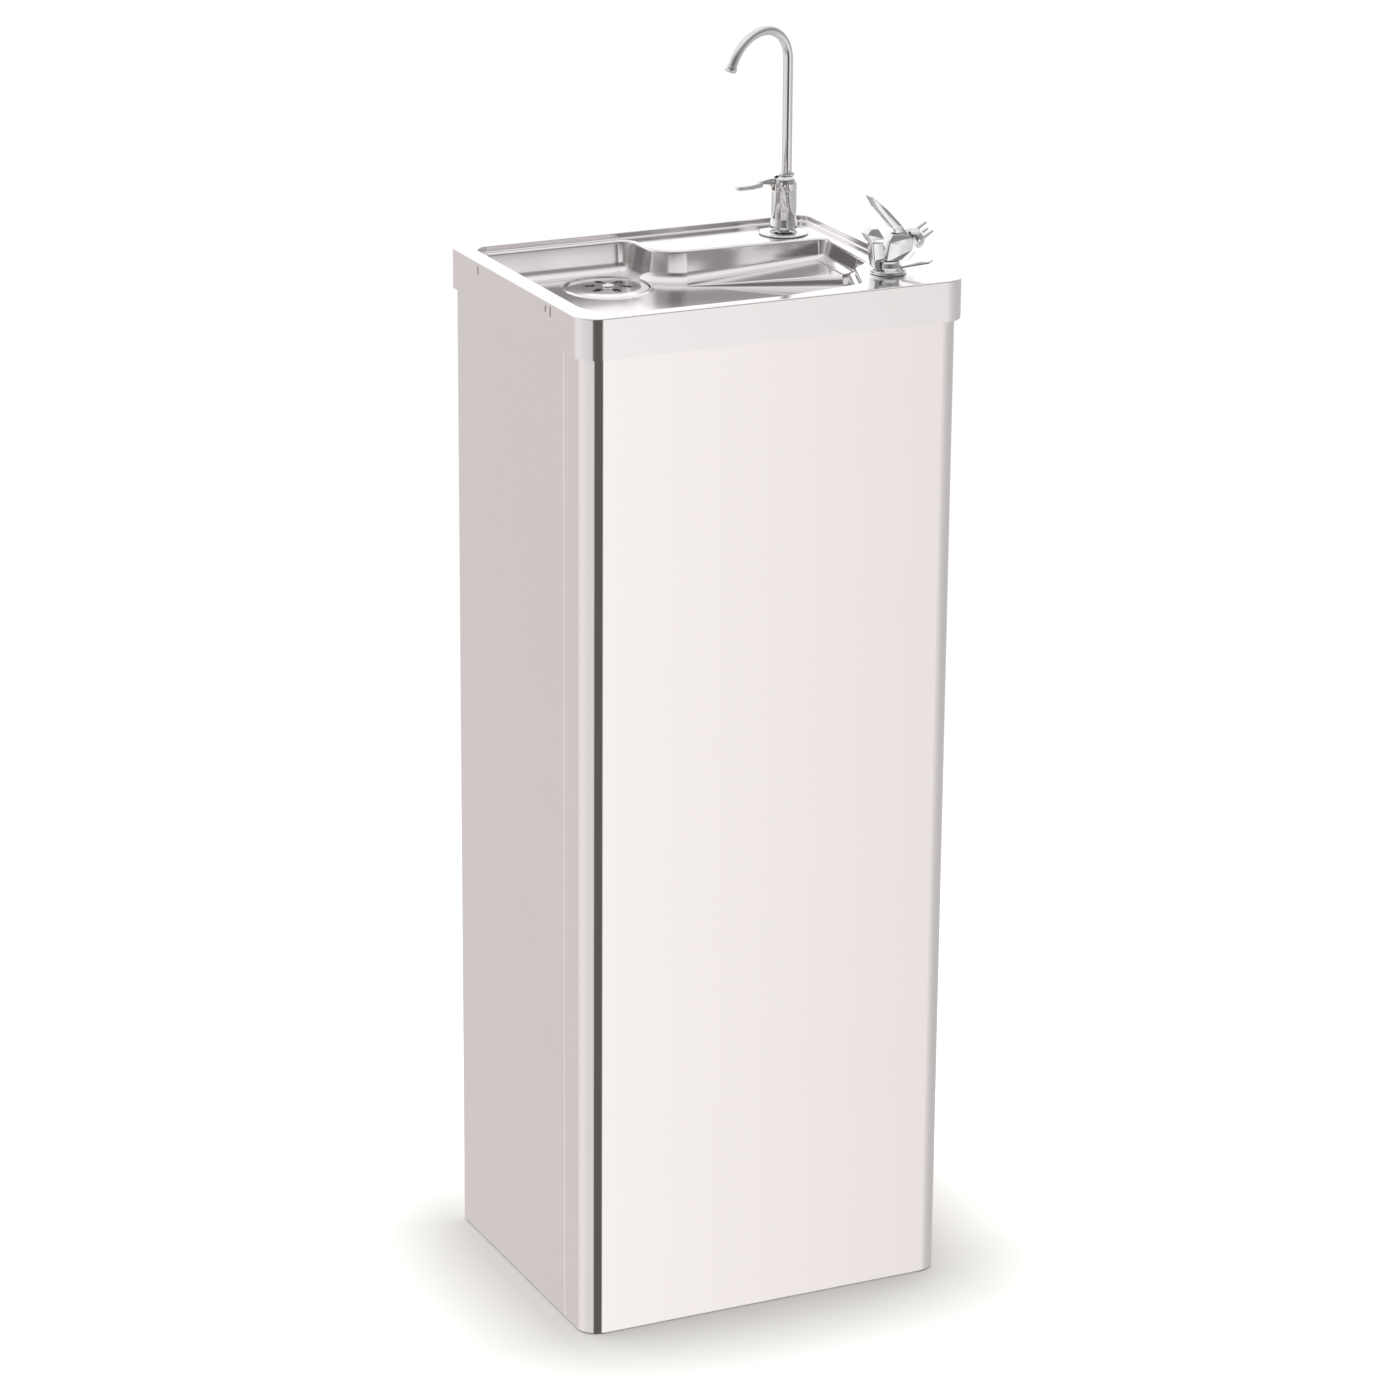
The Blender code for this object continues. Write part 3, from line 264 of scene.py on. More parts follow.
@dataclass(frozen=True)
class Moulded(Finish):
    """Moulded plastic, rubber or paint: fine texture, with soft wear."""

    texture: float = 1500.0
    relief: float = 0.00002
    change: float = 0.06

    def surface(self, graph: Graph) -> dict[str, Input]:
        """Return the shader's inputs."""
        fine = graph.noise(self.texture, detail=4.0)
        cloud = graph.noise(20.0)
        return {"Base Color": self.tinted(graph, cloud, self.change), "Metallic": 0.0,
                "Roughness": cloud * 0.12 + fine * 0.06 + (self.roughness - 0.09),
                "Normal": graph.bump(fine, self.relief)}


@dataclass(frozen=True)
class Foamed(Finish):
    """Cut foam with open cells; each cell's dented middle is darkened with painted shade."""

    cell: float = 520.0

    def surface(self, graph: Graph) -> dict[str, Input]:
        """Return the shader's inputs."""
        cells = graph.out(graph.node("TexVoronoi", None, {
            "Vector": graph.place(), "Scale": self.cell}), "Distance")
        # painted shade: the colour darkens in each cell's dent, following the same cells that the bump
        # presses in
        return {"Base Color": self.tinted(graph, cells, 0.18), "Metallic": 0.0,
                "Roughness": self.roughness, "Normal": graph.bump(cells, 0.0004, 0.7)}


SATIN = Metal("satin_steel", (0.800, 0.768, 0.770), 0.055, Grain.UPRIGHT, scratch_scale=900.0,
              scratch=0.012, clouds=0.010, tint=0.012, depth=0.0000012)
POLISHED = Metal("polished_steel", (0.790, 0.770, 0.772), 0.130, Grain.CROSSWISE, scratch_scale=700.0,
                 scratch=0.020, clouds=0.020, tint=0.012, depth=0.0000010)
CHROME = Metal("chrome", (0.74, 0.74, 0.75), 0.028, Grain.ROUND, scratch_scale=300.0,
               scratch=0.004, clouds=0.010, tint=0.01, depth=0.00000005)
ZINC = Plated("zinc_plate", (0.55, 0.56, 0.57), 0.34)
COPPER = Plated("copper", (0.80, 0.42, 0.27), 0.24, 90.0, (0.36, 0.20, 0.13))
BRASS = Plated("brass", (0.80, 0.62, 0.28), 0.24, 220.0, (0.42, 0.31, 0.14))
BLACK_PAINT = Moulded("black_paint", (0.020, 0.020, 0.022), 0.42, 260.0, 0.00006)
BLACK_PLASTIC = Moulded("black_plastic", (0.028, 0.028, 0.030), 0.48)
WHITE_PLASTIC = Moulded("white_plastic", (0.78, 0.78, 0.76), 0.42, 900.0)
GREY_PLASTIC = Moulded("grey_plastic", (0.34, 0.35, 0.36), 0.50)
BLUE_TUBE = Moulded("blue_tube", (0.08, 0.22, 0.58), 0.38, 600.0, 0.00001)
RUBBER = Moulded("rubber", (0.026, 0.026, 0.026), 0.72, 1100.0, 0.00004)
FOAM = Foamed("foam", (0.78, 0.70, 0.50), 0.92)
FINISHES = {item.name: item for item in (
    SATIN, POLISHED, CHROME, ZINC, COPPER, BRASS, BLACK_PAINT, BLACK_PLASTIC, WHITE_PLASTIC,
    GREY_PLASTIC, BLUE_TUBE, RUBBER, FOAM)}


# Shapes ---------------------------------------------------

def rounded(corners: Sequence[Corner], steps: int = 10, closed: bool = True) -> list[Vector]:
    """Return an outline's points with its corners rounded by arcs.

    Args:
        corners: x, y and radius of each corner.
        steps: spans in each arc.
        closed: whether the last corner joins the first.

    Returns:
        The points in order.
    """
    points: list[Vector] = []
    last = len(corners) - 1
    for index, (x, y, radius) in enumerate(corners):
        corner = Vector((x, y))
        if radius == 0 or (not closed and index in (0, last)):
            points.append(corner)
            continue
        before = (Vector(corners[index - 1][:2]) - corner).normalized()
        after = (Vector(corners[(index + 1) % len(corners)][:2]) - corner).normalized()
        half = before.angle(after) / 2
        centre = corner + (before + after).normalized() * radius / math.sin(half)
        start = corner + before * radius / math.tan(half) - centre
        end = corner + after * radius / math.tan(half) - centre
        turn = start.angle_signed(end)
        for step in range(steps + 1):
            angle = math.atan2(start.y, start.x) - turn * step / steps
            points.append(centre + radius * Vector((math.cos(angle), math.sin(angle))))
    return points


def grown(points: Sequence[Vector], distance: float) -> list[Vector]:
    """Return a closed outline moved outwards, whichever way round it runs."""
    area = sum(start.x * end.y - start.y * end.x
               for start, end in zip(points, [*points[1:], points[0]]))
    hand = math.copysign(1.0, area)
    moved = []
    for index, point in enumerate(points):
        before = (point - points[index - 1]).normalized()
        after = (points[(index + 1) % len(points)] - point).normalized()
        way = (before + after).normalized()
        normal = Vector((way.y, -way.x)) * hand
        moved.append(point + normal * distance / max(0.5, way.dot(after)))
    return moved


def strip(path: Sequence[Vector], thickness: float) -> list[Vector]:
    """Return the outline of a sheet that follows an open path, thick to its left."""
    inner = []
    for index, point in enumerate(path):
        before = (path[max(index, 1)] - path[max(index, 1) - 1]).normalized()
        low = min(index, len(path) - 2)
        after = (path[low + 1] - path[low]).normalized()
        way = (before + after).normalized()
        inner.append(point + Vector((-way.y, way.x)) * thickness / way.dot(after))
    return list(path) + inner[::-1]


def circle(radius: float, at: Pair = (0, 0), sides: int = 64) -> list[Vector]:
    """Return the points of a circle."""
    turns = [2 * math.pi * k / sides for k in range(sides)]
    return [Vector((at[0] + radius * math.cos(t), at[1] + radius * math.sin(t))) for t in turns]


def quarter(steps: int = 5) -> list[tuple[float, float]]:
    """Return how far a quarter round has come along each of its two sides."""
    turns = [QUARTER * k / steps for k in range(steps + 1)]
    return [(1 - math.cos(turn), math.sin(turn)) for turn in turns]


def raised(points: Sequence[Vector], height: float) -> list[Vector]:
    """Return flat points lifted to a height."""
    return [Vector((point.x, point.y, height)) for point in points]


class Shape:
    """A mesh under way."""

    def __init__(self) -> None:
        """Start empty."""
        self.form = bmesh.new()

    def loft(self, rings: Sequence[Sequence[Vector]]) -> None:
        """Join closed rings of equal length with quads."""
        made = [[self.form.verts.new(point) for point in ring] for ring in rings]
        count = len(made[0])
        for low, high in zip(made, made[1:]):
            for k in range(count):
                after = (k + 1) % count
                self.form.faces.new((low[k], low[after], high[after], high[k]))

    def fill(self, *loops: Sequence[Vector]) -> None:
        """Fill a flat region, given its outline and then its holes."""
        spots = [self.form.verts.new(point) for loop in loops for point in loop]
        for triangle in tessellate_polygon([list(loop) for loop in loops]):
            self.form.faces.new([spots[k] for k in triangle])

    def slab(self, outline: Sequence[Vector], low: float, high: float, edge: float = 0.0) -> "Shape":
        """Add an outline extruded from one height to another, with rounded edges."""
        turns = quarter(3) if edge else [(0.0, 0.0)]
        first = [raised(grown(outline, -edge * (1 - rise)), low + edge * out) for out, rise in turns]
        second = [raised(ring, high - (ring[0].z - low)) for ring in first[::-1]]
        self.loft(first + second)
        self.fill(first[0])
        self.fill(second[-1])
        return self

    def lathe(self, profile: Sequence[Corner], sides: int = 64, steps: int = 6,
              ring: bool = False) -> "Shape":
        """Add a profile of (radius, height, fillet) turned round Z.

        Args:
            profile: the corners of the profile, from one end to the other.
            sides: spans round the axis.
            steps: spans in each fillet.
            ring: whether the profile is closed, as for a collar with a bore.

        Returns:
            The shape.
        """
        points = rounded(profile, steps, ring)
        if ring:
            points.append(points[0])
        rings = [raised(circle(max(point.x, 0.0), sides=sides), point.y) for point in points]
        self.loft(rings)
        return self

    def tube(self, points: Sequence[Vector], radius: float, sides: int = 32) -> "Shape":
        """Add a round rod along points, with flat closed ends."""
        count = len(points)
        side = (points[1] - points[0]).orthogonal().normalized()
        rings = []
        for index, point in enumerate(points):
            way = (points[min(index + 1, count - 1)] - points[max(index - 1, 0)]).normalized()
            side = (side - way * side.dot(way)).normalized()
            across = way.cross(side)
            rings.append([point + radius * (side * spot.x + across * spot.y)
                          for spot in circle(1.0, sides=sides)])
        self.loft(rings)
        self.fill(rings[0])
        self.fill(rings[-1])
        return self

    def moved(self, at: Sequence[float], turn: Sequence[float] = (0, 0, 0)) -> "Shape":
        """Turn the whole shape, and then move it."""
        place = Matrix.Translation(Vector(at)) @ Euler(turn).to_matrix().to_4x4()
        bmesh.ops.transform(self.form, matrix=place, verts=self.form.verts)
        return self

    def mesh(self, name: str) -> bpy.types.Mesh:
        """Weld the shape and return its mesh."""
        bmesh.ops.remove_doubles(self.form, verts=self.form.verts, dist=WELD)
        bmesh.ops.dissolve_degenerate(self.form, edges=self.form.edges, dist=WELD)
        bmesh.ops.recalc_face_normals(self.form, faces=self.form.faces)
        data = bpy.data.meshes.new(name)
        self.form.to_mesh(data)
        self.form.free()
        return data


def carved(base: Shape, *tools: tuple[str, Shape]) -> Shape:
    """Cut shapes from a shape, or join them to it.

    Args:
        base: the shape that is changed.
        tools: an operation, DIFFERENCE or UNION, and its shape, in order.

    Returns:
        The new shape.
    """
    item = bpy.data.objects.new("carved", base.mesh("carved"))
    bpy.context.scene.collection.objects.link(item)
    helpers = []
    for operation, tool in tools:
        helper = bpy.data.objects.new("tool", tool.mesh("tool"))
        bpy.context.scene.collection.objects.link(helper)
        helpers.append(helper)
        modifier = item.modifiers.new("carve", "BOOLEAN")
        modifier.operation = operation
        modifier.solver = "EXACT"
        modifier.object = helper
    bpy.context.view_layer.update()
    graph = bpy.context.evaluated_depsgraph_get()
    result = Shape()
    result.form.from_mesh(item.evaluated_get(graph).data)
    for used in (item, *helpers):
        bpy.data.objects.remove(used, do_unlink=True)
    return result


def add_piece(name: str, shape: Shape, finish: Finish, nodes: Sequence[str], body: str = "root",
              crease: float = 32.0, flat: bool = False) -> bpy.types.Object:
    """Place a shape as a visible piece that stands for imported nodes.

    Args:
        name: the piece's name.
        shape: its mesh under way, in world coordinates.
        finish: its surface.
        nodes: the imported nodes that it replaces.
        body: the body that it rides on.
        crease: the angle in degrees past which an edge stays sharp.
        flat: whether its wide faces are flat sheet, which shading must keep flat.

    Returns:
        The piece.
    """
    data = shape.mesh(name)
    data.shade_smooth()
    data.set_sharp_from_angle(angle=math.radians(crease))
    data.materials.append(finish.build())
    item = bpy.data.objects.new(name, data)
    bpy.context.scene.collection.objects.link(item)
    if flat:
        weights = item.modifiers.new("even_shading", "WEIGHTED_NORMAL")
        weights.keep_sharp = True
    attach(item, body)
    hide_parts(*nodes)
    LOG.info("%s: %d faces", name, len(data.polygons))
    return item


def middle(node: str) -> Vector:
    """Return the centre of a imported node's box."""
    low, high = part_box(node)
    return (Vector(low) + Vector(high)) / 2


# Cabinet --------------------------------------------------

@dataclass
class Cabinet:
    """Folded front and side sheets."""

    corner: float = 0.020
    bend: float = 0.002
    flange: float = 0.010
    back_return: float = 0.016

    def build(self) -> None:
        """Fold the three visible sheets."""
        self.front()
        for hand, side in ((-1, "left"), (1, "right")):
            self.side(hand, side)

    def front(self) -> None:
        """Fold the front sheet round both front corners."""
        low, high = (Vector(point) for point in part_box("front_panel"))
        inner = high.x - self.flange
        path = rounded([(-inner, high.y, 0), (low.x, high.y, self.bend), (low.x, low.y, self.corner),
                        (high.x, low.y, self.corner), (high.x, high.y, self.bend),
                        (inner, high.y, 0)], steps=24, closed=False)
        shape = Shape().slab(strip(path, SHEET), low.z, high.z)
        add_piece("fine_front_panel", shape, SATIN, ["front_panel"], crease=20, flat=True)

    def side(self, hand: int, side: str) -> None:
        """Fold a side sheet with its front and back flanges."""
        node = f"{side}_side_panel"
        low, high = (Vector(point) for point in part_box(node))
        reach = max(abs(low.x), abs(high.x))
        path = rounded([(reach - self.flange, low.y, 0), (reach, low.y, self.bend),
                        (reach, high.y, self.bend), (reach - self.back_return, high.y, 0)],
                       steps=10, closed=False)
        outline = [Vector((hand * point.x, point.y)) for point in strip(path, SHEET)]
        shape = Shape().slab(outline, low.z, high.z)
        add_piece(f"fine_{node}", shape, SATIN, [node], crease=20, flat=True)


# Basin ----------------------------------------------------

@dataclass
class Basin:
    """The pressed top: rim and skirt, tap shelf, bowl with a raised ramp, and drain seat."""

    rim_edge: float = 0.0012
    shelf_fillet: float = 0.0018
    lip: float = 0.0030
    ledge: float = 0.0052           # from the recess wall to the bowl's wall
    draft: float = 0.0025
    floor_fillet: float = 0.010
    floor: float = 0.964
    seat: float = 0.9625
    front_corner: float = 0.023
    back_corner: float = 0.010
    ramp_foot: Pair = (0.005, 0.054)
    ramp_end: Pair = (0.148, -0.0135)
    ramp_rise: float = 0.0135
    ramp_edge: float = 0.0016
    sheet: float = 0.0009
    slots: tuple = ((0.086, 0.9875, 0.996), (-0.071, 0.989, 0.995), (-0.082, 0.987, 0.996))
    recess_corners: tuple = (
        (-0.177, 0.140, 0.014), (-0.177, -0.142, 0.042), (0.012, -0.142, 0.050),
        (0.097, -0.129, 0.010), (0.117, -0.074, 0.020), (0.150, -0.046, 0.012),
        (0.171, -0.040, 0.010), (0.171, 0.140, 0.014))
    bowl_turns: tuple = (
        (0.147, -0.0445, 0.012), (0.1575, 0.0672, 0.009), (-0.016, 0.0745, 0.032))

    def build(self) -> None:
        """Press the top out of one sheet."""
        low, high = (Vector(point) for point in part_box("basin_top"))
        outer = rounded([(low.x, low.y, self.front_corner), (high.x, low.y, self.front_corner),
                         (high.x, high.y, self.back_corner), (low.x, high.y, self.back_corner)], 16)
        recess = rounded(self.recess_corners, 14)
        bowl = self.bowl_outline()
        drain = middle("drain_strainer")
        shape = Shape()
        shape.loft([raised(outer, low.z)] + [
            raised(grown(outer, -self.rim_edge * fall), RIM - self.rim_edge * (1 - rise))
            for fall, rise in quarter()])
        bubbler = raised(circle(0.0065, middle("bubbler_nut").xy), RIM)
        shape.fill(raised(grown(outer, -self.rim_edge), RIM),
                   raised(grown(recess, self.rim_edge), RIM), bubbler)
        shape.loft([raised(grown(recess, self.rim_edge * (1 - out)), RIM - self.rim_edge * down)
                    for down, out in quarter()] + self.fillet(recess, SHELF, self.shelf_fillet, 0))
        tap = raised(circle(0.0065, middle("tap_nut").xy), SHELF)
        shape.fill(raised(grown(recess, -self.shelf_fillet), SHELF),
                   raised(grown(bowl, self.lip), SHELF), tap)
        walls = [raised(grown(bowl, self.lip * (1 - out)), SHELF - self.lip * down)
                 for down, out in quarter()]
        foot = self.draft + self.floor_fillet
        shape.loft(walls + self.fillet(bowl, self.floor, self.floor_fillet, self.draft))
        drain_rings = [(0.0450, 0.0), (0.0440, 0.0003), (0.0428, 0.0011), (0.0418, 0.0013),
                       (0.0408, 0.0010), (0.0403, 0.0002), (0.0402, self.seat - self.floor),
                       (0.0288, self.seat - self.floor), (0.0280, self.seat - self.floor - 0.0006),
                       (0.0280, self.seat - self.floor - 0.006)]
        rings = [raised(circle(radius, drain.xy, 72), self.floor + rise)
                 for radius, rise in drain_rings]
        shape.fill(raised(grown(bowl, -foot), self.floor), rings[0])
        shape.loft(rings)
        bmesh.ops.remove_doubles(shape.form, verts=shape.form.verts, dist=WELD)
        self.lift_ramp(shape.form)
        add_piece("fine_basin_top", self.thickened(shape, low.x), POLISHED, ["basin_top"], flat=True)

    def bowl_outline(self) -> list[Vector]:
        """Return the bowl's outline: the recess's left and front, then its own right and back."""
        inner = [(corner[0], corner[1]) for corner in self.recess_corners]
        step = self.ledge
        corners = [(inner[0][0] + step, inner[0][1] - step, 0.010),
                   (inner[1][0] + step, inner[1][1] + step, 0.037),
                   (inner[2][0] - 0.0004, inner[2][1] + step, 0.0448),
                   (inner[3][0] - 0.0045, inner[3][1] + 0.0045, 0.0060),
                   (inner[4][0] - 0.0040, inner[4][1] + 0.0052, 0.0180),
                   *self.bowl_turns, (-0.0195, inner[0][1] - step, 0.012)]
        return rounded(corners, 14)

    def fillet(self, outline: Sequence[Vector], level: float, radius: float,
               draft: float) -> list[list[Vector]]:
        """Return the rings of a fillet from a wall to a floor."""
        return [raised(grown(outline, -draft - radius * fall), level + radius * (1 - rise))
                for fall, rise in quarter(7)]

    def lift_ramp(self, form: bmesh.types.BMesh) -> None:
        """Raise the floor behind a line into a ramp, with the bowl's walls."""
        foot = Vector((*self.ramp_foot, 0.0))
        run = Vector((*self.ramp_end, 0.0)) - foot
        along = run.normalized()
        behind = Vector((-along.y, along.x, 0.0))
        top = SHELF - self.lip
        cuts = [(foot + behind * self.ramp_edge * share, behind) for share in
                (-1.0, -0.6, -0.2, 0.2, 0.6, 1.0)]
        cuts.append((foot, along))
        for place, normal in cuts:
            faces = [face for face in form.faces
                     if max(vertex.co.z for vertex in face.verts) < SHELF - 0.0001
                     and face.calc_center_median().y < 0.08 and face.calc_center_median().y > -0.05
                     and -0.03 < face.calc_center_median().x < 0.17]
            edges = {edge for face in faces for edge in face.edges}
            spots = {vertex for face in faces for vertex in face.verts}
            bmesh.ops.bisect_plane(form, geom=[*spots, *edges, *faces], plane_co=place,
                                   plane_no=normal, dist=WELD)
        for vertex in form.verts:
            offset = vertex.co - foot
            reach, depth = offset.dot(along), offset.xy.dot(behind.xy)
            if reach <= 0 or vertex.co.z > top or abs(vertex.co.x) > 0.172:
                continue
            share = min(1.0, max(0.0, (depth + self.ramp_edge) / (2 * self.ramp_edge)))
            lift = self.ramp_rise * reach / run.length * share ** 2 * (3 - 2 * share)
            vertex.co.z += lift * (top - vertex.co.z) / (top - self.floor)

    def thickened(self, shape: Shape, left: float) -> Shape:
        """Give the sheet its thickness and cut the slots in the left of its skirt."""
        rim = max(shape.form.faces, key=lambda face: face.calc_center_median().z)
        bmesh.ops.recalc_face_normals(shape.form, faces=shape.form.faces)
        if rim.normal.z < 0:
            bmesh.ops.reverse_faces(shape.form, faces=shape.form.faces)
        data = bpy.data.meshes.new("basin")
        shape.form.to_mesh(data)
        item = bpy.data.objects.new("basin", data)
        bpy.context.scene.collection.objects.link(item)
        modifier = item.modifiers.new("sheet", "SOLIDIFY")
        modifier.thickness = self.sheet
        modifier.offset = -1
        bpy.context.view_layer.update()
        graph = bpy.context.evaluated_depsgraph_get()
        result = Shape()
        result.form.from_mesh(item.evaluated_get(graph).data)
        bpy.data.objects.remove(item, do_unlink=True)
        cuts = []
        for y, low, high in self.slots:
            outline = rounded([(left - 0.003, y - 0.0009, 0), (left + 0.004, y - 0.0009, 0),
                               (left + 0.004, y + 0.0009, 0), (left - 0.003, y + 0.0009, 0)])
            cuts.append(("DIFFERENCE", Shape().slab(outline, low, high)))
        return carved(result, *cuts)


@dataclass
class Drain:
    """The strainer with its radial holes, and its screw."""

    holes: int = 6

    def build(self) -> None:
        """Make the strainer and the screw in the drain seat."""
        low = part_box("drain_strainer")[0]
        foot = (*middle("drain_strainer").xy, low[2])
        plate = Shape().lathe([(0, 0.0027, 0), (0.0110, 0.0027, 0.004), (0.0300, 0.0020, 0.02),
                               (0.0388, 0.0012, 0.0008), (0.0394, 0.0, 0.0002), (0, 0, 0)], 96)
        cuts = []
        for index in range(self.holes):
            outline = rounded([(0.0122, -0.0030, 0.0028), (0.0240, -0.0044, 0.0038),
                               (0.0240, 0.0044, 0.0038), (0.0122, 0.0030, 0.0028)], 8)
            turn = math.radians(360 / self.holes * index + 34)
            cuts.append(("DIFFERENCE",
                         Shape().slab(outline, -0.01, 0.01).moved((0, 0, 0), (0, 0, turn))))
        cuts.append(("DIFFERENCE", Shape().slab(circle(0.0034, sides=32), -0.01, 0.01)))
        add_piece("fine_drain_strainer", carved(plate, *cuts).moved(foot), POLISHED, ["drain_strainer"])
        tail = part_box("strainer_screw")[0][2] - low[2]
        screw = Shape().lathe([(0, 0.0055, 0), (0.0040, 0.0050, 0.0020), (0.0063, 0.0034, 0.0006),
                               (0.0060, 0.0029, 0.0001), (0.0030, 0.0029, 0), (0.0030, tail, 0.0004),
                               (0, tail, 0)], 48)
        bar = Shape().slab(rounded([(-0.0045, -0.0005, 0), (0.0045, -0.0005, 0), (0.0045, 0.0005, 0),
                                    (-0.0045, 0.0005, 0)]), 0.0045, 0.0070)
        add_piece("fine_strainer_screw", carved(screw, ("DIFFERENCE", bar)).moved(foot), CHROME,
                  ["strainer_screw"])


# Bottle filler --------------------------------------------

@dataclass
class BottleFiller:
    """The column, its gooseneck and its push lever."""

    pin: Pair = (-0.0070, 0.0500)       # the lever's pin, from the foot
    pin_bore: float = 0.00175
    spout_x: float = 0.0025
    top: float = 0.1700
    tight: float = 0.030
    wide: float = 0.045
    sweep: float = math.radians(62)
    tail: float = 0.006
    tube: float = 0.00475
    turn: float = math.radians(17)

    def build(self) -> None:
        """Make every piece of the filler."""
        self.foot = Vector((*middle("tap_nut").xy, SHELF))
        self.column()
        self.gooseneck()
        self.lever()

    def column(self) -> None:
        """Turn the column and its foot plate, and cut the lever's slot."""
        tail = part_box("tap_body")[0][2] - SHELF
        body = Shape().lathe([
            (0, 0.0560, 0), (0.0080, 0.0560, 0.0006), (0.0106, 0.0540, 0.0020), (0.0120, 0.0500, 0.003),
            (0.0120, 0.0430, 0.0004), (0.01175, 0.0427, 0.0002), (0.0120, 0.0424, 0.0004),
            (0.0121, 0.0150, 0.008), (0.0136, 0.0085, 0.004), (0.0140, 0.0054, 0.0008),
            (0.0060, 0.0054, 0), (0.0060, tail, 0.0005), (0, tail, 0)], 96)
        slot = rounded([(-0.020, -0.0033, 0), (-0.0031, -0.0033, 0), (-0.0031, 0.0033, 0),
                        (-0.020, 0.0033, 0)])
        spring = [Vector((point.x + self.pin[0], point.y)) for point in circle(0.0034, sides=32)]
        tube = [Vector((point.x + self.spout_x, point.y)) for point in circle(0.0050, sides=48)]
        pin = Shape().slab(circle(0.0017, sides=32), -0.02, 0.02)
        pin.moved((self.pin[0], 0, self.pin[1]), SIDEWAYS)
        mark = Shape().slab(circle(0.0016, sides=24), 0.0108, 0.0140)
        mark.moved((0, 0, 0.0250), (0, QUARTER, math.radians(-118)))
        body = carved(body, ("DIFFERENCE", Shape().slab(slot, 0.0430, 0.0600)),
                      ("DIFFERENCE", Shape().slab(spring, 0.0240, 0.0435)),
                      ("DIFFERENCE", Shape().slab(tube, 0.0380, 0.0600)), ("DIFFERENCE", pin),
                      ("DIFFERENCE", mark))
        add_piece("fine_tap_body", body.moved(self.foot), CHROME, ["tap_body"])
        plate = Shape().lathe([(0.0063, 0.0004, 0), (0.0238, 0.0004, 0.0002), (0.0240, 0.0012, 0.0004),
                               (0.0232, 0.0020, 0.0008), (0.0150, 0.0030, 0.004),
                               (0.0063, 0.0034, 0)], 96, ring=True)
        add_piece("fine_tap_escutcheon", plate.moved(self.foot), CHROME, ["tap_escutcheon"])
        collar = Shape().lathe([(0.0051, 0.0563, 0), (0.0072, 0.0563, 0.0003), (0.0073, 0.0582, 0.0006),
                                (0.0069, 0.0600, 0.0006), (0.0051, 0.0600, 0.0002)], 64, ring=True)
        add_piece("fine_spout_collar", collar.moved(self.foot + Vector((self.spout_x, 0, 0))), CHROME,
                  ["spout_collar"])

    def gooseneck(self) -> None:
        """Bend the tube: up, over a tight bend, and down along a wider one to the outlet."""
        way = Vector((-math.cos(self.turn), -math.sin(self.turn), 0))
        up = Vector((0, 0, 1))
        points = [up * height for height in (0.0390, 0.0480, 0.0700, 0.1250, self.top)]
        for step in range(1, 19):
            angle = QUARTER * step / 18
            points.append(up * (self.top + self.tight * math.sin(angle))
                          + way * self.tight * (1 - math.cos(angle)))
        for step in range(1, 19):
            angle = self.sweep * step / 18
            points.append(up * (self.top + self.tight - self.wide * (1 - math.cos(angle)))
                          + way * (self.tight + self.wide * math.sin(angle)))
        fall = way * math.cos(self.sweep) - up * math.sin(self.sweep)
        points.append(points[-1] + fall * self.tail)
        root = self.foot + Vector((self.spout_x, 0, 0))
        shape = Shape().tube(points, self.tube, 48).moved(root)
        add_piece("fine_tap_spout", shape, CHROME, ["tap_spout"], "spout")
        outlet = Shape().lathe([(0.0032, 0.0052, 0.0004), (0.0050, 0.0052, 0.0004),
                                (0.0058, 0.0036, 0.0010), (0.0058, 0.0, 0.0003), (0.0032, 0.0, 0)],
                               48, ring=True)
        tilt = fall.to_track_quat("Z", "Y").to_euler()
        mouth = root + points[-1] + fall * 0.0003
        add_piece("fine_spout_outlet", outlet.moved(mouth, tilt), CHROME, ["spout_outlet"], "spout")

    def lever(self) -> None:
        """Make the push lever: a cam hub with a thin neck and a spoon-shaped paddle."""
        pin = self.foot + Vector((self.pin[0], 0, self.pin[1]))
        hub = rounded([(0.0032, -0.0028, 0.0025), (0.0032, 0.0035, 0.0025), (-0.0080, 0.0050, 0.003),
                       (-0.0200, 0.0030, 0.0012), (-0.0200, 0.0002, 0.0008), (-0.0086, -0.0010, 0.002),
                       (-0.0070, -0.0040, 0.0020), (-0.0015, -0.0040, 0.0015)], 8)
        leaf = rounded([(-0.0160, -0.0024, 0.0022), (-0.0160, 0.0024, 0.0022), (-0.0300, 0.0062, 0.012),
                        (-0.0440, 0.0062, 0.0056), (-0.0440, -0.0062, 0.0056),
                        (-0.0300, -0.0062, 0.012)], 12)
        paddle = Shape().slab(leaf, -0.0028, 0.0020, 0.0019).moved((0, 0, 0), (0, math.radians(-2), 0))
        bore = Shape().slab(circle(self.pin_bore, sides=32), -0.02, 0.02).moved((0, 0, 0), SIDEWAYS)
        shape = Shape().slab(hub, -0.0028, 0.0028, 0.0006).moved((0, 0, 0), SIDEWAYS)
        shape = carved(shape, ("UNION", paddle), ("DIFFERENCE", bore)).moved(pin)
        add_piece("fine_tap_lever", shape, CHROME, ["tap_lever"], "tap_lever")


# Bubbler --------------------------------------------------

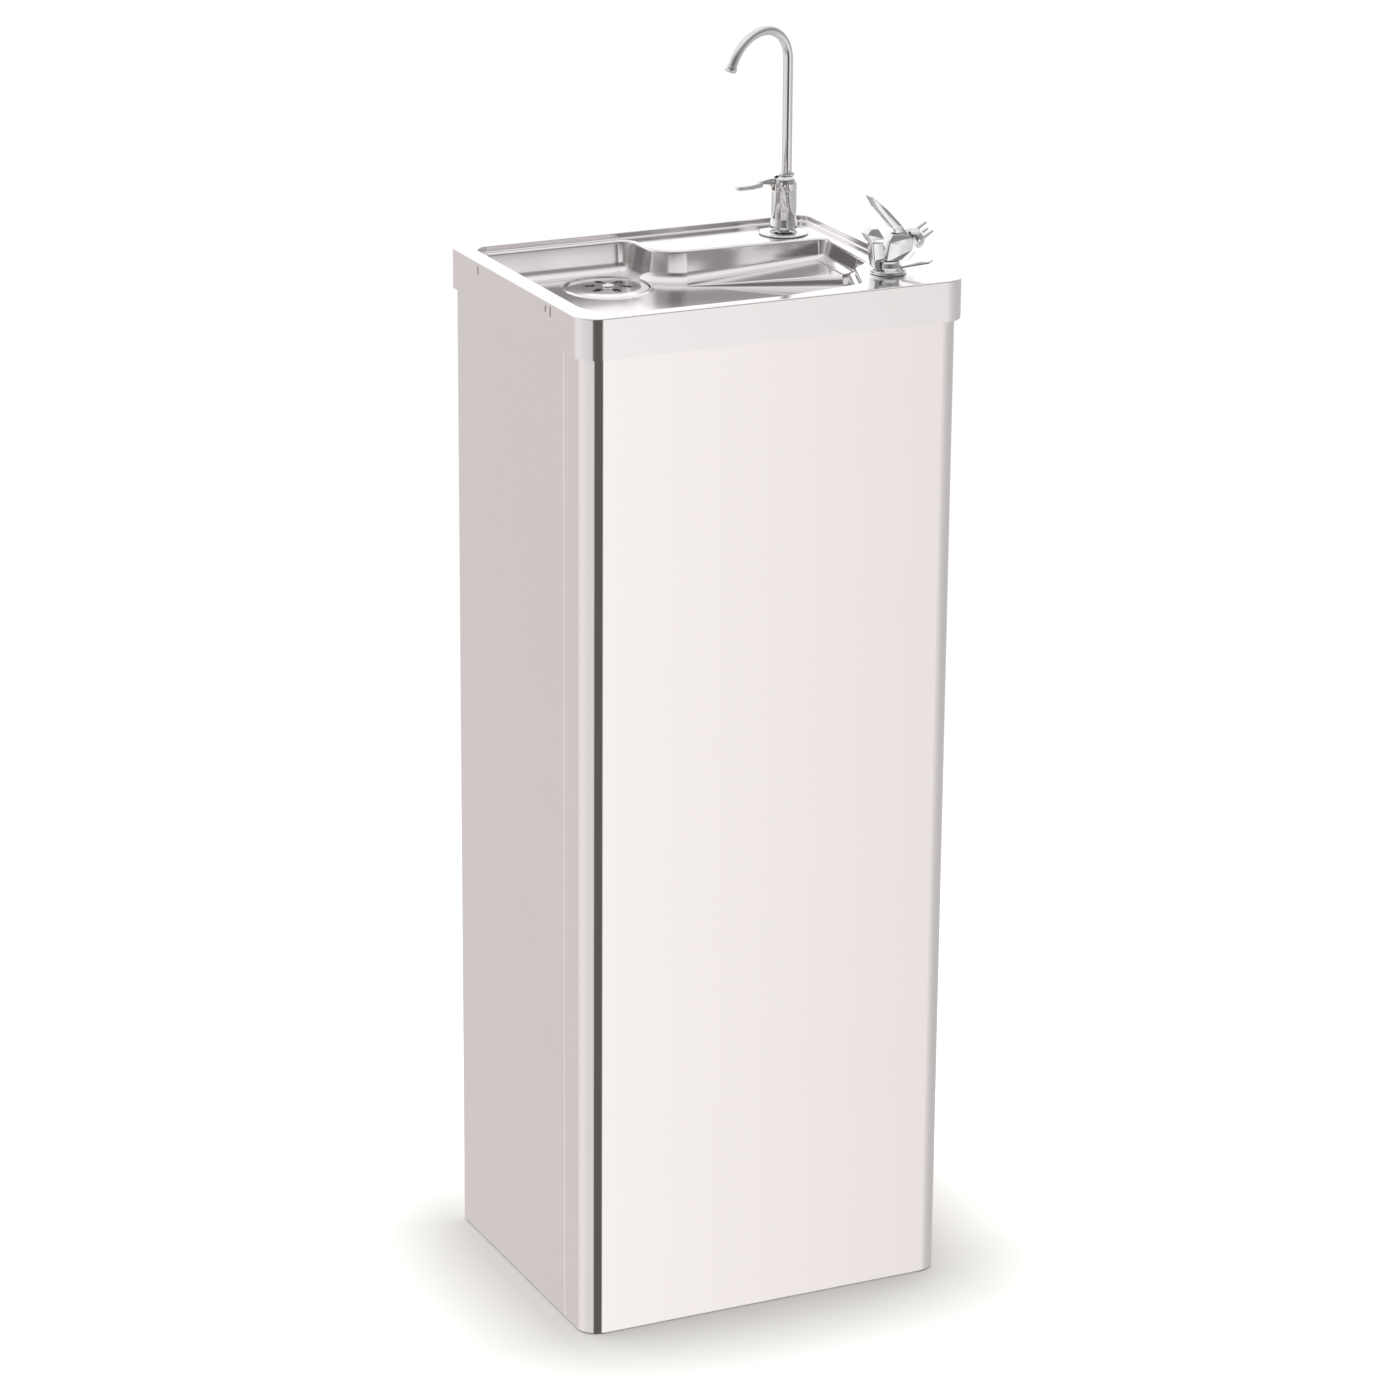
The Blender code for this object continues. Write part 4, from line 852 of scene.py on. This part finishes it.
@dataclass
class Bubbler:
    """The drinking head at the front right corner."""

    pivot: Pair = (0.0160, 0.0300)
    pin_bore: float = 0.00175
    plunger_x: float = 0.0080
    knob_place: Pair = (0.0232, 0.0290)
    knob_tilt: float = math.radians(60)
    prongs: int = 3

    def build(self) -> None:
        """Make every piece of the bubbler."""
        self.foot = Vector((*middle("bubbler_nut").xy, RIM))
        self.base()
        self.body()
        self.nozzle()
        self.lever()
        self.knob()

    def upright(self, outline: Sequence[Corner], half: float, edge: float) -> Shape:
        """Return an outline in X and Z, thick to both sides along Y, with rounded edges."""
        return Shape().slab(rounded(outline, 8), -half, half, edge).moved((0, 0, 0), SIDEWAYS)

    def base(self) -> None:
        """Turn the foot and press the guard wings."""
        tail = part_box("bubbler_base")[0][2] - RIM
        shape = Shape().lathe([
            (0, 0.0120, 0), (0.0100, 0.0120, 0.0006), (0.0111, 0.0105, 0.0008), (0.0113, 0.0055, 0.003),
            (0.0168, 0.0036, 0.0010), (0.0172, 0.0004, 0.0003), (0.0060, 0.0004, 0),
            (0.0060, tail, 0.0005), (0, tail, 0)], 80)
        add_piece("fine_bubbler_base", shape.moved(self.foot), CHROME, ["bubbler_base"])
        corners = [(0.0085, -0.0095, 0.0008), (0.0310, -0.0220, 0.0015), (0.0380, -0.0180, 0.0020),
                   (0.0190, 0, 0.005), (0.0380, 0.0180, 0.0020), (0.0310, 0.0220, 0.0015),
                   (0.0085, 0.0095, 0.0008), (0.0130, 0, 0.010)]
        wings = Shape().slab(rounded(corners, 8), 0.0053, 0.0072, 0.0005)
        for vertex in wings.form.verts:
            vertex.co.z += 0.25 * max(0.0, vertex.co.x - 0.012)
        add_piece("fine_bubbler_wings", wings.moved(self.foot), CHROME, ["bubbler_wings"])

    def body(self) -> None:
        """Cast the upright body, slotted for the lever and bored for the plunger."""
        shape = self.upright([
            (-0.0060, 0.0123, 0.001), (0.0100, 0.0123, 0.0015), (0.0215, 0.0205, 0.005),
            (0.0225, 0.0340, 0.005), (0.0110, 0.0365, 0.003), (0.0010, 0.0370, 0.0012),
            (-0.0030, 0.0300, 0.004)], 0.0068, 0.0009)
        slot = Shape().slab(rounded([(0.0022, -0.0030, 0), (0.0300, -0.0030, 0), (0.0300, 0.0030, 0),
                                     (0.0022, 0.0030, 0)]), 0.0240, 0.0500)
        bore = Shape().slab([Vector((point.x + self.plunger_x, point.y))
                             for point in circle(0.0029, sides=32)], 0.0155, 0.0245)
        pin = Shape().slab(circle(0.0017, sides=32), -0.02, 0.02)
        pin.moved((self.pivot[0], 0, self.pivot[1]), SIDEWAYS)
        shape = carved(shape, ("DIFFERENCE", slot), ("DIFFERENCE", bore), ("DIFFERENCE", pin))
        add_piece("fine_bubbler_body", shape.moved(self.foot), CHROME, ["bubbler_body"])

    def nozzle(self) -> None:
        """Make the water spout at the left, and the hood that guards it."""
        finger = self.upright([
            (-0.0165, 0.0054, 0.001), (-0.0121, 0.0054, 0.0008), (-0.0121, 0.0125, 0.0008),
            (-0.0070, 0.0140, 0.002), (-0.0090, 0.0310, 0.001), (-0.0200, 0.0310, 0.001),
            (-0.0180, 0.0150, 0.012)], 0.0062, 0.0007)
        add_piece("fine_bubbler_nozzle", finger.moved(self.foot), CHROME, ["bubbler_nozzle"])
        hood = self.upright([
            (-0.0210, 0.0313, 0.0007), (-0.0185, 0.0313, 0.0007), (-0.0185, 0.0335, 0.0007),
            (-0.0077, 0.0335, 0.001), (-0.0145, 0.0440, 0.002), (-0.0215, 0.0445, 0.002),
            (-0.0258, 0.0390, 0.002)], 0.0068, 0.0006)
        add_piece("fine_bubbler_hood", hood.moved(self.foot), CHROME, ["bubbler_hood"])

    def lever(self) -> None:
        """Make the press lever: a tongue on the pin under a broad tapering blade."""
        pivot = self.foot + Vector((self.pivot[0], 0, self.pivot[1]))
        tongue = self.upright([
            (-0.0118, -0.0025, 0.001), (-0.0050, -0.0034, 0.001), (0.0010, -0.0048, 0.003),
            (0.0054, 0.0000, 0.004), (0.0010, 0.0070, 0.004), (-0.0050, 0.0150, 0.003),
            (-0.0150, 0.0135, 0), (-0.0108, 0.0098, 0.002)], 0.0026, 0.0004)
        blade = self.upright([
            (-0.0140, 0.0120, 0.001), (-0.0040, 0.0130, 0.002), (-0.0210, 0.0310, 0.020),
            (-0.0398, 0.0468, 0.0006), (-0.0322, 0.0335, 0.010)], 0.0064, 0.0005)
        bore = Shape().slab(circle(self.pin_bore, sides=32), -0.02, 0.02).moved((0, 0, 0), SIDEWAYS)
        shape = carved(tongue, ("UNION", blade), ("DIFFERENCE", bore)).moved(pivot)
        add_piece("fine_bubbler_lever", shape, CHROME, ["bubbler_lever"], "bubbler_lever")

    def knob(self) -> None:
        """Turn the flow regulator's knob and set three finger prongs in it."""
        shape = Shape().lathe([(0, 0.0120, 0), (0.0040, 0.0118, 0.002), (0.0085, 0.0090, 0.003),
                               (0.0110, 0.0040, 0.0012), (0.0105, 0.0010, 0.0004), (0, 0.0010, 0)], 64)
        prongs = []
        for index in range(self.prongs):
            angle = math.radians(360 / self.prongs * index + 60)
            prong = Shape().lathe([(0, 0.0210, 0), (0.0013, 0.0210, 0.0007), (0.0022, 0.0060, 0),
                                   (0, 0.0060, 0)], 24)
            prong.moved((0.0058 * math.cos(angle), 0.0058 * math.sin(angle), 0))
            prongs.append(("UNION", prong))
        place = self.foot + Vector((self.knob_place[0], 0, self.knob_place[1]))
        shape = carved(shape, *prongs).moved(place, (0, self.knob_tilt, 0))
        add_piece("fine_bubbler_knob", shape, CHROME, ["bubbler_knob"], "bubbler_knob")


# Studio ---------------------------------------------------

@dataclass
class Studio:
    """Floor, backdrop, lights, surroundings and camera."""

    camera_turn: float = math.radians(-25.2211)
    camera_rise: float = math.radians(18.5916)
    camera_roll: float = math.radians(0.4219)
    distance: float = 4.8395
    target: tuple[float, float, float] = (-0.0131, 0.0, 0.5815)
    lens: float = 131.78
    reach: float = 14.0
    white: tuple[float, float, float, float] = (1.02, 1.02, 1.01, 1.0)

    def build(self) -> None:
        """Make everything that isn't the object."""
        self.floor()
        self.backdrop()
        self.surroundings()
        self.lamps()
        self.camera()
        bpy.context.scene.view_settings.view_transform = "Standard"

    def floor(self) -> None:
        """Make the pale floor, which metal doesn't mirror."""
        data = bpy.data.meshes.new("floor")
        form = bmesh.new()
        bmesh.ops.create_circle(form, cap_ends=True, segments=96, radius=self.reach)
        form.to_mesh(data)
        form.free()
        item = bpy.data.objects.new("floor", data)
        bpy.context.scene.collection.objects.link(item)
        material = bpy.data.materials.new("floor")
        material.use_nodes = True
        graph = Graph(material.node_tree)
        shade = graph.mix(graph.noise(3.0), (0.92, 0.915, 0.900, 1.0), (0.95, 0.945, 0.930, 1.0))
        shader = graph.node("BsdfDiffuse", None, {"Color": shade})
        glow = graph.node("Emission", None, {"Color": self.white, "Strength": 1.0})
        far = graph.out(graph.node("VectorMath", {"operation": "LENGTH"}, {0: graph.place()}), "Value")
        blend = graph.node("MixShader", None, {0: graph.spread(far, 0.7, 2.0, 0.0, 1.0),
                                               1: Wire(graph, shader.outputs[0]),
                                               2: Wire(graph, glow.outputs[0])})
        output = graph.node("OutputMaterial")
        graph.tree.links.new(blend.outputs[0], output.inputs[0])
        data.materials.append(material)
        item.visible_glossy = False

    def backdrop(self) -> None:
        """Make a white dome that only the camera sees."""
        data = bpy.data.meshes.new("backdrop")
        form = bmesh.new()
        bmesh.ops.create_uvsphere(form, u_segments=48, v_segments=24, radius=self.reach)
        form.to_mesh(data)
        form.free()
        item = bpy.data.objects.new("backdrop", data)
        bpy.context.scene.collection.objects.link(item)
        material = bpy.data.materials.new("backdrop")
        material.use_nodes = True
        graph = Graph(material.node_tree)
        shader = graph.node("Emission", None, {"Color": self.white, "Strength": 1.0})
        output = graph.node("OutputMaterial")
        graph.tree.links.new(shader.outputs[0], output.inputs[0])
        data.materials.append(material)
        item.visible_diffuse = False
        item.visible_glossy = False
        item.visible_transmission = False
        item.visible_volume_scatter = False
        item.visible_shadow = False

    def surroundings(self) -> None:
        """Light the world: white behind and above, grey in front, a dark opening at the front."""
        world = bpy.data.worlds.new("studio")
        bpy.context.scene.world = world
        world.use_nodes = True
        graph = Graph(world.node_tree)
        way = graph.node("SeparateXYZ", None, {0: graph.out(graph.node("TexCoord"), "Generated")})
        x, y, z = (graph.out(way, axis) for axis in range(3))
        turn = graph.maths("ARCTAN2", x, 0.0 - y) * (0.5 / math.pi) + 0.5
        low = graph.node("ValToRGB", {"stops": self.low_ring()}, {"Fac": turn})
        high = graph.node("ValToRGB", {"stops": self.high_ring()}, {"Fac": turn})
        level = graph.spread(z, -0.21, -0.13, 0.0, 1.0)
        around = graph.mix(level, graph.out(low), graph.out(high))
        top = graph.spread(z, 0.50, 0.85, 0.0, 1.0)
        all_round = graph.mix(top, around, (1.05, 1.04, 1.03, 1.0))
        shader = graph.node("Background", None, {"Color": all_round, "Strength": 1.0})
        output = graph.node("OutputWorld")
        graph.tree.links.new(shader.outputs[0], output.inputs[0])

    @staticmethod
    def ring(stops: Sequence[tuple[float, float, float]]) -> list[tuple[float, tuple]]:
        """Turn (azimuth in degrees, brightness, warmth) into ramp stops."""
        return [((azimuth + 180) / 360, (light * (1 + warm), light, light * (1 - 0.4 * warm)))
                for azimuth, light, warm in stops]

    def low_ring(self) -> list[tuple[float, tuple]]:
        """Return what upright sheet mirrors, by azimuth from the front."""
        return self.ring([(-180, 0.78, 0.04), (-150, 0.71, 0.06), (-122, 0.95, 0.02), (-100, 0.95, 0.02),
                          (-70, 0.85, 0.02), (-41, 0.82, 0.02), (-35, 0.12, 0.10), (5, 0.12, 0.10),
                          (11, 1.14, 0.03), (24, 1.15, 0.02), (28.5, 0.97, 0.03), (40, 0.86, 0.03),
                          (60, 0.70, 0.02), (90, 0.61, 0.02), (150, 0.60, 0.02), (179, 0.78, 0.04)])

    def high_ring(self) -> list[tuple[float, tuple]]:
        """Return what the basin and the fittings mirror above them."""
        return self.ring([(-180, 1.32, 0.01), (-110, 1.05, 0.01), (-80, 0.46, 0.03), (-40, 0.30, 0.03),
                          (-30, 0.18, 0.03), (0, 0.18, 0.03), (12, 0.32, 0.03), (60, 0.36, 0.03),
                          (85, 0.50, 0.02), (115, 1.15, 0.01), (179, 1.32, 0.01)])

    def lamps(self) -> None:
        """Hang soft lamps that light the floor; metal doesn't mirror them."""
        for name, place, size, watts in (("overhead", (0.0, 0.0, 3.2), 0.35, 54.0),
                                         ("front_fill", (-1.8, -2.6, 2.4), 1.2, 6.0)):
            data = bpy.data.lights.new(name, "AREA")
            data.size = size
            data.energy = watts
            item = bpy.data.objects.new(name, data)
            bpy.context.scene.collection.objects.link(item)
            item.location = place
            item.rotation_euler = (Vector(place) - Vector((0, 0, 0.4))).to_track_quat("Z", "Y").to_euler()
            item.visible_glossy = False
            item.visible_camera = False

    def camera(self) -> None:
        """Aim the camera from the front left, a little above."""
        turn, rise = self.camera_turn, self.camera_rise
        back = Vector((math.sin(turn) * math.cos(rise), -math.cos(turn) * math.cos(rise), math.sin(rise)))
        level = (-back).cross(Vector((0, 0, 1))).normalized()
        upward = back.cross(level)
        right = level * math.cos(self.camera_roll) + upward * math.sin(self.camera_roll)
        up = back.cross(right)
        place = Vector(self.target) + back * self.distance
        data = bpy.data.cameras.new("camera")
        data.lens = self.lens
        data.clip_end = 100.0
        item = bpy.data.objects.new("camera", data)
        bpy.context.scene.collection.objects.link(item)
        item.matrix_world = Matrix((right, up, back)).transposed().to_4x4()
        item.matrix_world.translation = place
        bpy.context.scene.camera = item


def dress_nodes() -> None:
    """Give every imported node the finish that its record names."""
    for entry in frame["record"]["subparts"]:
        slots = frame["nodes"][entry["node"]].data.materials
        slots.clear()
        slots.append(FINISHES[entry["material_slot"]].build())


def main() -> None:
    """Build the studio and every piece."""
    logging.basicConfig(level=logging.INFO, format="%(message)s")
    Studio().build()
    dress_nodes()
    for assembly in (Cabinet(), Basin(), Drain(), BottleFiller(), Bubbler()):
        assembly.build()


if __name__ == "__main__":
    main()
